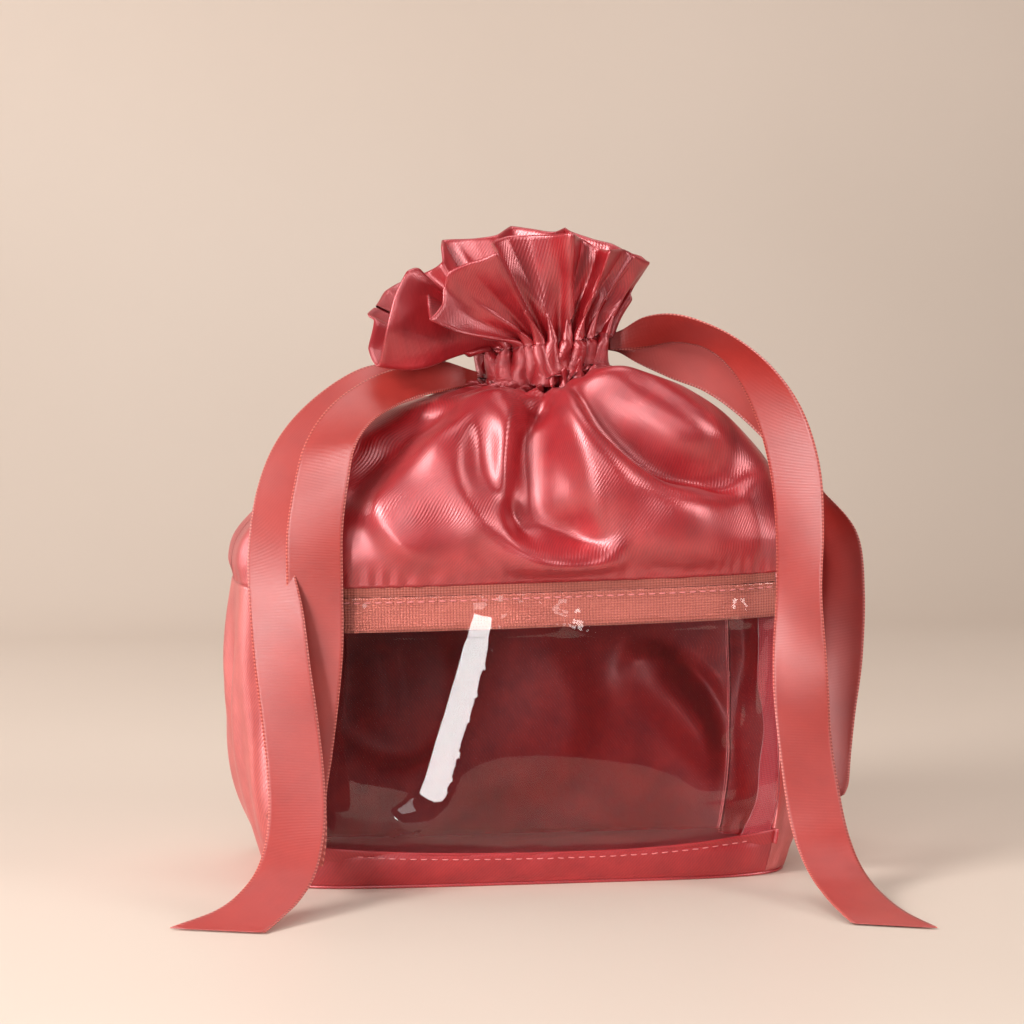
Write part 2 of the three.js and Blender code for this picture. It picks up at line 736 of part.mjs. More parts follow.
// One whole ribbon: a tail, the loop round the neck inside the casing, and the other tail.
function ribbon(mouth, firstTail, lastTail) {
  const stations = [
    ...tailStations(mouth, firstTail).reverse(),
    ...loopStations(mouth),
    ...tailStations(mouth, lastTail),
  ];
  alignWidths(stations);
  return ribbonSolid(stations);
}

const leftMouth = { name: "left", share: 0, track: lowerTrack };
const rightMouth = { name: "right", share: 0.5, track: upperTrack };
const leftRibbon = ribbon(leftMouth, leftFrontTail, leftBackTail);
const rightRibbon = ribbon(rightMouth, rightBackTail, rightFrontTail);
addNode("left_ribbon", leftRibbon, material(colours.ribbon, 0.4));
addNode("right_ribbon", rightRibbon, material(colours.ribbon, 0.4));

export default bag;
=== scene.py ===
"""The looks of a drawstring vanity bag, laid over its packed construction model.

The cloth, the clear window, the ribbons and the sewing are surfaces worked out with numpy in
millimetres and stored in metres. All of it stands on one smooth form of the bag, which the folds
are then pressed into.
"""

import logging
import math
from dataclasses import dataclass, field
from enum import Enum
from typing import Callable, Optional, Sequence

import bpy
import numpy as np
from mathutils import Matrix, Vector


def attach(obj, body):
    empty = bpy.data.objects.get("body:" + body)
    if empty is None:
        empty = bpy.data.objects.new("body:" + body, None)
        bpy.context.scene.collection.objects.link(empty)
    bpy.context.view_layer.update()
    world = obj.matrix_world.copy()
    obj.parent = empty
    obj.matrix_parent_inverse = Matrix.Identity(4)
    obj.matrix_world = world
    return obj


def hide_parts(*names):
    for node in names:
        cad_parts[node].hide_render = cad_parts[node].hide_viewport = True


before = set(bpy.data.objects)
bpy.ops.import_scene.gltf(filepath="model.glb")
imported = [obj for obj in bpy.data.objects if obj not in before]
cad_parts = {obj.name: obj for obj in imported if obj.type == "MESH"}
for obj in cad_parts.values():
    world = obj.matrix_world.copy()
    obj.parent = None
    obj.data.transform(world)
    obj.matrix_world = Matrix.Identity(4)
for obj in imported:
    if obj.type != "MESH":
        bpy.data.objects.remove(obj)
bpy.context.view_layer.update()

logging.basicConfig(level=logging.INFO, format="%(message)s")
LOG = logging.getLogger("vanity_bag")

Array = np.ndarray
METRES = 0.001
TURN = 2 * math.pi
UP = np.array([0.0, 0.0, 1.0])
LEVEL = np.array([1.0, 1.0, 0.0])


class Wall(Enum):
    """The four walls of the lower body, by the side that they face."""

    FRONT = "front"
    RIGHT = "right"
    BACK = "back"
    LEFT = "left"


class Half(Enum):
    """The two halves of the gathered top, with the share of the perimeter where each starts."""

    FRONT = 0.0
    BACK = 0.5


def smooth_curve(knots: Array, values: Array, at: Array) -> Array:
    """Reads smooth curves through keyed values.

    Between two knots the curve is the cubic that meets both values with the slope of the chord
    between each knot's neighbours.

    Args:
        knots: The rising places of the keys, shape (n,).
        values: One row of values a key, shape (n, k).
        at: The places to read, any shape.

    Returns:
        The values at each place, with the shape of at and a last axis of k.
    """
    slopes = np.gradient(values, knots, axis=0)
    place = np.clip(np.searchsorted(knots, at, side="right") - 1, 0, len(knots) - 2)
    span = (knots[place + 1] - knots[place])[..., None]
    part = np.clip((at - knots[place])[..., None] / span, 0, 1)
    square, cube = part**2, part**3
    start = (2 * cube - 3 * square + 1) * values[place]
    leave = (cube - 2 * square + part) * span * slopes[place]
    end = (3 * square - 2 * cube) * values[place + 1]
    arrive = (cube - square) * span * slopes[place + 1]
    return start + leave + end + arrive


def spline(rows: Sequence[Sequence[float]], count: int) -> Array:
    """Carries a curve evenly through given rows, each as long a stretch of it as the next.

    Args:
        rows: The rows that the curve passes through.
        count: How many samples to read.

    Returns:
        The samples, shape (count, k).
    """
    values = np.array(rows, float)
    last = len(values) - 1
    return smooth_curve(np.arange(last + 1, dtype=float), values, np.linspace(0, last, count))


def ease(low: float, high: float, at: Array) -> Array:
    """Rises smoothly from 0 at low to 1 at high, as 3t^2 - 2t^3."""
    part = np.clip((at - low) / (high - low), 0, 1)
    return part * part * (3 - 2 * part)


def unit(vectors: Array) -> Array:
    """Scales each vector to a length of one."""
    return vectors / np.maximum(np.linalg.norm(vectors, axis=-1, keepdims=True), 1e-9)


def read_line(at: Array, places: Array, points: Array) -> Array:
    """Points of a polyline at given places along it, with straight stretches between its own."""
    return np.stack([np.interp(at, places, points[:, axis]) for axis in range(3)], axis=-1)


def run_lengths(points: Array) -> Array:
    """The length along a line from its first point to each of its points."""
    steps = np.linalg.norm(np.diff(points, axis=0), axis=-1)
    return np.concatenate([[0.0], np.cumsum(steps)])


def grid_normals(points: Array) -> Array:
    """The outward normals of a grid: the cross product of its steps along a row and up a column."""
    along = np.gradient(points, axis=1)
    rising = np.gradient(points, axis=0)
    return unit(np.cross(along, rising))


def wrinkles(points: Array, wavelength: float, seed: int, waves: int = 9) -> Array:
    """A soft random relief from -1 to 1: the mean of plane waves in seeded directions.

    Args:
        points: Where to read it, in millimetres, shape (..., 3).
        wavelength: The shortest wave, in millimetres. The longest is 2.5 times that.
        seed: Picks the directions, lengths and phases.
        waves: How many waves are summed.

    Returns:
        The relief, with the shape of points less its last axis.
    """
    random = np.random.default_rng(seed)
    directions = unit(random.normal(size=(waves, 3)))
    lengths = wavelength * random.uniform(1, 2.5, waves)
    phases = random.uniform(0, TURN, waves)
    turns = np.tensordot(points, (directions / lengths[:, None]).T, axes=1) * TURN
    return np.sin(turns + phases).sum(-1) / math.sqrt(waves) / 1.5


def cloth_lengths(points: Array) -> Array:
    """Lays a grid out flat: each point's length along its row from the middle, and up its column.

    Returns:
        The lengths in metres, shape (rows, columns, 2), for a UV map at the cloth's own scale.
    """
    across = np.linalg.norm(np.diff(points, axis=1), axis=-1)
    along = np.concatenate([np.zeros((len(points), 1)), np.cumsum(across, axis=1)], axis=1)
    along -= along[:, points.shape[1] // 2][:, None]
    rise = np.linalg.norm(np.diff(points, axis=0), axis=-1).mean(axis=1)
    up = np.concatenate([[0.0], np.cumsum(rise)])
    return np.stack([along, np.broadcast_to(up[:, None], along.shape)], axis=-1) * METRES


def make_mesh(
    name: str, vertices: Array, faces: Array, uv: Optional[Array] = None
) -> bpy.types.Object:
    """Makes one smooth-shaded object from vertices in millimetres.

    Args:
        name: The piece's name.
        vertices: Shape (n, 3), in millimetres in the row frame.
        faces: Corner numbers, shape (m, 3) or (m, 4).
        uv: One pair for each vertex, in metres, or None.

    Returns:
        The new object, at the origin.
    """
    mesh = bpy.data.meshes.new(name)
    corners = faces.shape[1]
    mesh.vertices.add(len(vertices))
    mesh.vertices.foreach_set("co", (vertices * METRES).astype(np.float32).ravel())
    mesh.loops.add(faces.size)
    mesh.loops.foreach_set("vertex_index", faces.astype(np.int32).ravel())
    mesh.polygons.add(len(faces))
    mesh.polygons.foreach_set("loop_start", np.arange(0, faces.size, corners, dtype=np.int32))
    mesh.update(calc_edges=True)
    mesh.polygons.foreach_set("use_smooth", np.ones(len(faces), dtype=bool))
    if uv is not None:
        layer = mesh.uv_layers.new(name="cloth")
        layer.data.foreach_set("uv", uv[faces.ravel()].astype(np.float32).ravel())
    mesh.validate()
    piece = bpy.data.objects.new(name, mesh)
    bpy.context.scene.collection.objects.link(piece)
    return piece


def grid_faces(rows: int, columns: int) -> Array:
    """The quads of a grid, each turned so that its normal is along the row crossed with up."""
    corner = np.arange(rows * columns).reshape(rows, columns)
    quads = [corner[:-1, :-1], corner[:-1, 1:], corner[1:, 1:], corner[1:, :-1]]
    return np.stack(quads, axis=-1).reshape(-1, 4)


def sheet_piece(name: str, points: Array) -> bpy.types.Object:
    """Makes one open sheet from a grid of points, laid out flat by the grid's own lengths.

    Args:
        name: The piece's name.
        points: The grid, shape (rows, columns, 3), in millimetres.

    Returns:
        The new object.
    """
    rows, columns = points.shape[:2]
    flat = cloth_lengths(points).reshape(-1, 2)
    return make_mesh(name, points.reshape(-1, 3), grid_faces(rows, columns), flat)


def shell_piece(name: str, outer: Array, inner: Array) -> bpy.types.Object:
    """Makes a closed sheet from its outer and inner face, joined all round its edge.

    The inner face is the second material of the piece.

    Args:
        name: The piece's name.
        outer: The outer grid, shape (rows, columns, 3), in millimetres.
        inner: The inner grid, of the same shape.

    Returns:
        The new object.
    """
    rows, columns = outer.shape[:2]
    faces = grid_faces(rows, columns)
    count = rows * columns
    corner = np.arange(count).reshape(rows, columns)
    loop = np.concatenate([corner[0], corner[1:, -1], corner[-1, -2::-1], corner[-2:0:-1, 0]])
    after = np.roll(loop, -1)
    rim = np.stack([after, loop, loop + count, after + count], axis=-1)
    every = np.concatenate([faces, faces[:, ::-1] + count, rim])
    flat = cloth_lengths(outer).reshape(-1, 2)
    points = np.concatenate([outer.reshape(-1, 3), inner.reshape(-1, 3)])
    piece = make_mesh(name, points, every, np.concatenate([flat, flat]))
    material_of_face = np.zeros(len(every), dtype=np.int32)
    material_of_face[len(faces) : 2 * len(faces)] = 1
    piece.data.polygons.foreach_set("material_index", material_of_face)
    return piece


@dataclass(frozen=True)
class Viewpoint:
    """Where the photograph was taken from. Angles in degrees, lengths in millimetres."""

    azimuth: float = -8.0
    elevation: float = 4.5
    distance: float = 1300.0
    target: tuple = (-4.6, 0.3, 165.4)
    view_width: float = 481.3
    sensor_width: float = 36.0

    def axes(self) -> tuple:
        """The unit vectors to the camera's right, upwards and forwards."""
        around, above = math.radians(self.azimuth), math.radians(self.elevation)
        level = math.cos(above)
        ahead = np.array([-math.sin(around) * level, math.cos(around) * level, -math.sin(above)])
        right = unit(np.cross(ahead, UP))
        return right, np.cross(right, ahead), ahead

    def position(self) -> Array:
        """The camera's place in the row frame."""
        return np.array(self.target) - self.distance * self.axes()[2]

    def on_plane(self, points: Array) -> Array:
        """Where points appear on the upright plane through the target, from its middle.

        Args:
            points: Shape (..., 3), in millimetres.

        Returns:
            Right and up in millimetres on that plane, shape (..., 2).
        """
        right, above, ahead = self.axes()
        reach = points - self.position()
        scale = self.distance / (reach @ ahead)
        return np.stack([reach @ right * scale, reach @ above * scale], axis=-1)

    def add_camera(self) -> None:
        """Makes the camera and hands it to the scene."""
        data = bpy.data.cameras.new("camera")
        data.sensor_width = self.sensor_width
        data.lens = self.sensor_width * self.distance / self.view_width
        camera = bpy.data.objects.new("camera", data)
        camera.location = Vector(self.position() * METRES)
        ahead = Vector(self.axes()[2])
        camera.rotation_euler = ahead.to_track_quat("-Z", "Y").to_euler()
        bpy.context.scene.collection.objects.link(camera)
        bpy.context.scene.camera = camera


VIEW = Viewpoint()


class Nodes:
    """Builds a material's node tree in a few words."""

    def __init__(self, name: str) -> None:
        """Starts an empty material of that name."""
        self.material = bpy.data.materials.new(name)
        self.material.use_nodes = True
        self.tree = self.material.node_tree
        self.tree.nodes.clear()

    def add(self, kind: str, **settings: object) -> bpy.types.Node:
        """Adds a node and sets its own settings, such as operation or data_type."""
        node = self.tree.nodes.new("ShaderNode" + kind)
        for name, value in settings.items():
            setattr(node, name, value)
        return node

    def wired(self, kind: str, inputs: dict, **settings: object) -> bpy.types.Node:
        """Adds a node and links or sets its inputs, each found by its name or number."""
        node = self.add(kind, **settings)
        for key, value in inputs.items():
            if isinstance(value, bpy.types.NodeSocket):
                self.tree.links.new(value, node.inputs[key])
            else:
                node.inputs[key].default_value = value
        return node

    def math(self, operation: str, first: object, second: object = 0.0) -> bpy.types.NodeSocket:
        """The result of a Math node."""
        return self.wired("Math", {0: first, 1: second}, operation=operation).outputs[0]

    def summed(self, *terms: tuple) -> bpy.types.NodeSocket:
        """The sum of values, each given with its weight."""
        total = None
        for value, weight in terms:
            term = value if weight == 1 else self.math("MULTIPLY", value, weight)
            total = term if total is None else self.math("ADD", total, term)
        return total

    def swung(self, grey: object, middle: float, swing: float) -> bpy.types.NodeSocket:
        """A figure that a grey from 0 to 1 moves by half of the swing each way."""
        return self.math("ADD", self.math("MULTIPLY", grey, swing), middle - swing / 2)

    def flat_layout(self) -> bpy.types.NodeSocket:
        """The piece's own flat layout, in metres of cloth."""
        return self.add("UVMap", uv_map="cloth").outputs["UV"]

    def apart(self, vector: object) -> tuple:
        """The X and Y of a vector."""
        node = self.wired("SeparateXYZ", {0: vector})
        return node.outputs["X"], node.outputs["Y"]

    def object_place(self) -> bpy.types.NodeSocket:
        """The place on the object, in metres."""
        return self.add("TexCoord").outputs["Object"]

    def noise(
        self, vector: object, scale: float, detail: float = 3.0, rough: float = 0.5
    ) -> bpy.types.NodeSocket:
        """The grey value of a Noise Texture."""
        inputs = {"Vector": vector, "Scale": scale, "Detail": detail, "Roughness": rough}
        return self.wired("TexNoise", inputs).outputs["Fac"]

    def mix(self, factor: object, first: object, second: object) -> bpy.types.NodeSocket:
        """The colour between two colours."""
        inputs = {"Factor": factor, "A": first, "B": second}
        node = self.wired("Mix", inputs, data_type="RGBA")
        return next(socket for socket in node.outputs if socket.type == "RGBA")

    def spread(self, value: object, low: float, high: float) -> bpy.types.NodeSocket:
        """Stretches a value from low..high to 0..1, held at both ends."""
        inputs = {"Value": value, "From Min": low, "From Max": high}
        return self.wired("MapRange", inputs).outputs["Result"]

    def scaled(self, vector: object, scale: tuple, turn: float = 0.0) -> bpy.types.NodeSocket:
        """A vector turned about Z, in degrees, and scaled by a Mapping node."""
        inputs = {"Vector": vector, "Scale": scale, "Rotation": (0, 0, math.radians(turn))}
        return self.wired("Mapping", inputs).outputs["Vector"]

    def bump(self, height: object, distance: float, **below: object) -> bpy.types.NodeSocket:
        """A normal raised by a height, in metres of relief, over any Normal given below it."""
        inputs = {"Strength": 1.0, "Distance": distance, "Height": height, **below}
        return self.wired("Bump", inputs).outputs["Normal"]

    def tangent(self) -> bpy.types.NodeSocket:
        """The way along the flat layout, by which threads shine."""
        return self.add("Tangent", direction_type="UV_MAP", uv_map="cloth").outputs[0]

    def surface(self, inputs: dict) -> bpy.types.NodeSocket:
        """A Principled shader with these inputs."""
        return self.wired("BsdfPrincipled", inputs).outputs[0]

    def finish(self, shader: bpy.types.NodeSocket) -> bpy.types.Material:
        """Closes the tree with its output."""
        self.wired("OutputMaterial", {"Surface": shader})
        return self.material


def rgba(colour: tuple) -> tuple:
    """A linear colour from one written as sRGB values from 0 to 255."""
    parts = [value / 255 for value in colour]
    linear = (
        part / 12.92 if part <= 0.04045 else ((part + 0.055) / 1.055) ** 2.4 for part in parts
    )
    return (*linear, 1.0)


@dataclass(frozen=True)
class Satin:
    """A woven satin: fine slanted twill, threads that shine along the cloth, and a soft mottle."""

    name: str
    lit: tuple
    deep: tuple
    roughness: float = 0.34
    anisotropy: float = 0.4
    ior: float = 2.6
    metallic: float = 0.26
    twill_pitch: float = 1.3
    twill_relief: float = 0.05
    twill_angle: float = 35.0
    crush_relief: float = 0.25
    sheen: float = 0.08

    def build(self) -> bpy.types.Material:
        """Makes the material. The weave follows the piece's own flat layout."""
        nodes = Nodes(self.name)
        flat = nodes.flat_layout()
        turns = 1 / (self.twill_pitch * METRES)
        over, _ = nodes.apart(nodes.scaled(flat, (turns, turns, 1), self.twill_angle))
        twill = nodes.math("SINE", nodes.math("MULTIPLY", over, TURN))
        threads = nodes.noise(nodes.scaled(flat, (2600, 160, 1), self.twill_angle), 1.0, 2.0)
        weave = nodes.summed((twill, 0.5), (threads, 1.2))
        mottle = nodes.noise(nodes.scaled(flat, (60, 60, 1)), 1.0, 4.0, 0.6)
        crush = nodes.noise(nodes.scaled(flat, (95, 30, 1), 12), 1.0, 3.0)
        shade = nodes.spread(nodes.summed((mottle, 0.8), (threads, 0.35), (twill, 0.1)), 0.35, 0.85)
        soft = nodes.bump(crush, self.crush_relief * METRES)
        shader = nodes.surface({
            "Base Color": nodes.mix(shade, rgba(self.lit), rgba(self.deep)),
            "Roughness": nodes.swung(threads, self.roughness, 0.14),
            "Anisotropic": self.anisotropy,
            "Anisotropic Rotation": 0.25,
            "IOR": self.ior,
            "Metallic": self.metallic,
            "Specular Tint": rgba((255, 226, 228)),
            "Sheen Weight": self.sheen,
            "Sheen Roughness": 0.35,
            "Tangent": nodes.tangent(),
            "Normal": nodes.bump(weave, self.twill_relief * METRES, Normal=soft),
        })
        return nodes.finish(shader)


@dataclass(frozen=True)
class Ribbed:
    """A ribbed woven band, such as grosgrain tape: round ribs and a fine thread over them."""

    name: str
    # ridge and groove: the colours of the rib tops and of the grooves between them; the difference
    # between them is painted light and shade
    ridge: tuple
    groove: tuple
    rib_pitch: float
    relief: float
    roughness: float
    sheen: float = 0.3

    def build(self) -> bpy.types.Material:
        """Makes the material. The ribs repeat along the flat layout's first axis. Their relief also
        sets the colour, as painted shade in the grooves and painted light on the rib tops.
        """
        nodes = Nodes(self.name)
        flat = nodes.flat_layout()
        along, across = nodes.apart(flat)
        turns = TURN / (self.rib_pitch * METRES)
        ribs = nodes.math("ABSOLUTE", nodes.math("SINE", nodes.math("MULTIPLY", along, turns / 2)))
        picks = nodes.math("SINE", nodes.math("MULTIPLY", across, turns * 1.15))
        fibre = nodes.noise(nodes.scaled(flat, (1500, 1500, 1)), 1.0, 2.0)
        relief = nodes.summed((ribs, 1), (picks, 0.45), (fibre, 0.3))
        wear = nodes.noise(nodes.scaled(flat, (45, 45, 1)), 1.0, 4.0, 0.6)
        # Painted shade and light: the rib relief darkens the grooves and lightens the tops; the
        # wear noise adds a random tone
        tone = nodes.spread(nodes.summed((relief, 0.5), (wear, 0.6)), 0.25, 1.0)
        shader = nodes.surface({
            "Base Color": nodes.mix(tone, rgba(self.groove), rgba(self.ridge)),
            "Roughness": nodes.swung(fibre, self.roughness, 0.16),
            "Sheen Weight": self.sheen,
            "Sheen Roughness": 0.4,
            "Normal": nodes.bump(relief, self.relief * METRES),
        })
        return nodes.finish(shader)


@dataclass(frozen=True)
class RibbonSatin:
    """Single-face satin ribbon: fine ribs across it, and a tight woven edge with a dot a pick."""

    name: str
    lit: tuple
    deep: tuple
    edge: tuple
    width: float
    edge_width: float = 1.1
    dot_pitch: float = 1.6
    rib_pitch: float = 0.7
    relief: float = 0.04
    roughness: float = 0.42
    ior: float = 1.6

    def build(self) -> bpy.types.Material:
        """Makes the material. The flat layout runs across the ribbon first, from its middle."""
        nodes = Nodes(self.name)
        flat = nodes.flat_layout()
        across, along = nodes.apart(flat)

        def wave(pitch: float) -> bpy.types.NodeSocket:
            """A sine along the ribbon."""
            return nodes.math("SINE", nodes.math("MULTIPLY", along, TURN / (pitch * METRES)))

        ribs = wave(self.rib_pitch)
        dots = nodes.spread(wave(self.dot_pitch), -0.3, 0.5)
        aside = nodes.math("ABSOLUTE", across)
        inner = (self.width / 2 - self.edge_width) * METRES
        selvedge = nodes.spread(aside, inner - 0.0002, inner + 0.0002)
        beyond = nodes.spread(aside, inner + 0.0003, inner + 0.0007)
        # groove: the sunken line inside the woven edge, used for the relief and as painted shade in
        # the colour
        groove = nodes.math("SUBTRACT", selvedge, beyond)
        fibre = nodes.noise(nodes.scaled(flat, (900, 5000, 1)), 1.0, 2.0)
        mottle = nodes.noise(nodes.scaled(flat, (40, 40, 1)), 1.0, 3.0, 0.6)
        tone = nodes.spread(nodes.summed((mottle, 0.8), (fibre, 0.3)), 0.3, 0.8)
        cloth = nodes.mix(tone, rgba(self.lit), rgba(self.deep))
        picks = nodes.math("MULTIPLY", selvedge, dots)
        dotted = nodes.mix(picks, cloth, rgba(self.edge))
        shader = nodes.surface({
            # Painted shade: the groove beside the woven edge is mixed towards the deep colour
            "Base Color": nodes.mix(nodes.math("MULTIPLY", groove, 0.75), dotted, rgba(self.deep)),
            "Roughness": nodes.swung(fibre, self.roughness, 0.14),
            "Anisotropic": 0.4,
            "IOR": self.ior,
            "Specular IOR Level": 0.8,
            "Sheen Weight": 0.1,
            "Sheen Roughness": 0.35,
            "Tangent": nodes.tangent(),
            "Normal": nodes.bump(
                nodes.summed((ribs, 0.5), (picks, 1.2), (groove, -2.0)), self.relief * METRES
            ),
        })
        return nodes.finish(shader)


@dataclass(frozen=True)
class ClearFilm:
    """Clear glossy film that lets lamps through, a little greyed, with fine scuffs and dust."""

    name: str
    tint: tuple
    passes: float
    roughness: float = 0.02
    ripple: float = 0.12

    def build(self) -> bpy.types.Material:
        """Makes the material. Shadow rays meet a Transparent shader, so lamps reach behind it."""
        nodes = Nodes(self.name)
        place_at = nodes.object_place()
        dust = nodes.spread(nodes.noise(place_at, 420, 1.0), 0.84, 0.86)
        ripple = nodes.noise(nodes.scaled(place_at, (30, 30, 12)), 1.0, 2.0)
        rough = nodes.math("ADD", nodes.math("MULTIPLY", dust, 0.25), self.roughness)
        film = nodes.surface({
            "Base Color": rgba(self.tint),
            "Roughness": rough,
            "Transmission Weight": 1.0,
            "IOR": 1.36,
            "Normal": nodes.bump(ripple, self.ripple * METRES),
        })
        clear = nodes.wired("BsdfTransparent", {"Color": (self.passes,) * 3 + (1.0,)})
        shadow = nodes.add("LightPath").outputs["Is Shadow Ray"]
        mix = nodes.wired("MixShader", {0: shadow, 1: film, 2: clear.outputs[0]})
        return nodes.finish(mix.outputs[0])


@dataclass(frozen=True)
class Thread:
    """Twisted sewing thread with a soft shine."""

    name: str
    colour: tuple
    dark: tuple
    relief: float = 0.08

    def build(self) -> bpy.types.Material:
        """Makes the material, with its twist read from Object coordinates."""
        nodes = Nodes(self.name)
        twist = nodes.noise(nodes.scaled(nodes.object_place(), (3000, 900, 3000), 30), 1.0, 1.0)
        shader = nodes.surface({
            "Base Color": nodes.mix(twist, rgba(self.colour), rgba(self.dark)),
            "Roughness": 0.5,
            "Sheen Weight": 0.3,
            "Normal": nodes.bump(twist, self.relief * METRES),
        })
        return nodes.finish(shader)


class Finishes:
    """Every finish on the bag, made once."""

    def __init__(self) -> None:
        """Builds the materials."""
        self.satin = Satin("satin", (194, 34, 42), (148, 11, 26)).build()
        # The band is the same satin as the top, made duller, with a slightly darker base colour as
        # painted shade for its low, forward-facing place
        self.band = Satin(
            "band_satin_painted_shade", (180, 36, 40), (142, 14, 28),
            roughness=0.42, anisotropy=0.3, ior=1.9, metallic=0.1,
        ).build()
        # Painted light: the gussets are the same satin, given a lighter, pinker base colour for the
        # light that falls on the bag's side
        self.gusset = Satin(
            "gusset_satin", (208, 88, 84), (172, 50, 52), roughness=0.36, ior=2.8
        ).build()
        # The satin's reverse, inside the bag: duller than the face, and its colour also darkened as
        # painted shade for the dim inside seen through the window
        self.reverse_with_painted_shade = Satin(
            "satin_reverse_painted_shade", (150, 34, 32), (104, 14, 24),
            roughness=0.45, anisotropy=0.3, ior=1.4, metallic=0.0, twill_relief=0.012,
        ).build()
        self.tape = Ribbed(
            "woven_tape", (178, 94, 78), (142, 62, 52), rib_pitch=1.4, relief=0.2, roughness=0.6
        ).build()
        self.binding = Ribbed(
            "seam_binding", (164, 38, 48), (118, 20, 30), rib_pitch=1.1, relief=0.12, roughness=0.6
        ).build()
        self.ribbon = RibbonSatin(
            "ribbon_satin", (178, 47, 37), (154, 33, 26), (222, 118, 104), DrawRibbons.width
        ).build()
        self.film = ClearFilm("clear_film", (246, 243, 243), 0.9).build()
        self.thread = Thread("thread", (236, 150, 150), (200, 84, 88)).build()


def dress(piece: bpy.types.Object, *materials: bpy.types.Material) -> bpy.types.Object:
    """Gives a piece its materials, in the order of its slots."""
    for material in materials:
        piece.data.materials.append(material)
    return piece


def place(piece: bpy.types.Object, slot: str, *nodes: str) -> bpy.types.Object:
    """Hangs a piece on the bag's body, logs its slot and face count, and hides the construction
    nodes that it stands for.
    """
    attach(piece, "root")
    if nodes:
        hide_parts(*nodes)
    faces = len(piece.data.polygons)
    LOG.info("%s: %d faces, slot %s", piece.name, faces, slot)
    return piece


def outline_points(half_width: Array, half_depth: Array, squareness: Array, share: Array) -> Array:
    """Points of soft boxes and ovals, read by the share of their perimeter.

    Each ring is the superellipse where |x / a|^p + |y / b|^p = 1. Its length is summed in small
    turns from the left end through the front, and each share is looked up in that sum.

    Args:
        half_width: The a of each ring, shape (rows,).
        half_depth: The b of each ring, shape (rows,).
        squareness: The p of each ring, shape (rows,).
        share: The shares to read, shape (rows, columns).

    Returns:
        The x and y of each point, shape (rows, columns, 2).
    """
    turn = np.linspace(0, TURN, 1441)
    power = squareness[:, None]

    def around(at: Array) -> Array:
        """The ring's points at each angle, counted from its left end."""
        cosine, sine = -np.cos(at), -np.sin(at)
        reach = np.abs(cosine / half_width[:, None]) ** power
        reach = reach + np.abs(sine / half_depth[:, None]) ** power
        radius = reach ** (-1 / power)
        return np.stack([radius * cosine, radius * sine], axis=-1)

    ring = around(np.broadcast_to(turn, (len(half_width), len(turn))))
    steps = np.linalg.norm(np.diff(ring, axis=1), axis=-1)
    lengths = np.concatenate([np.zeros((len(ring), 1)), np.cumsum(steps, axis=1)], axis=1)
    wanted = (share % 1.0) * lengths[:, -1:]
    at = np.stack([np.interp(want, length, turn) for want, length in zip(wanted, lengths)])
    return around(at)


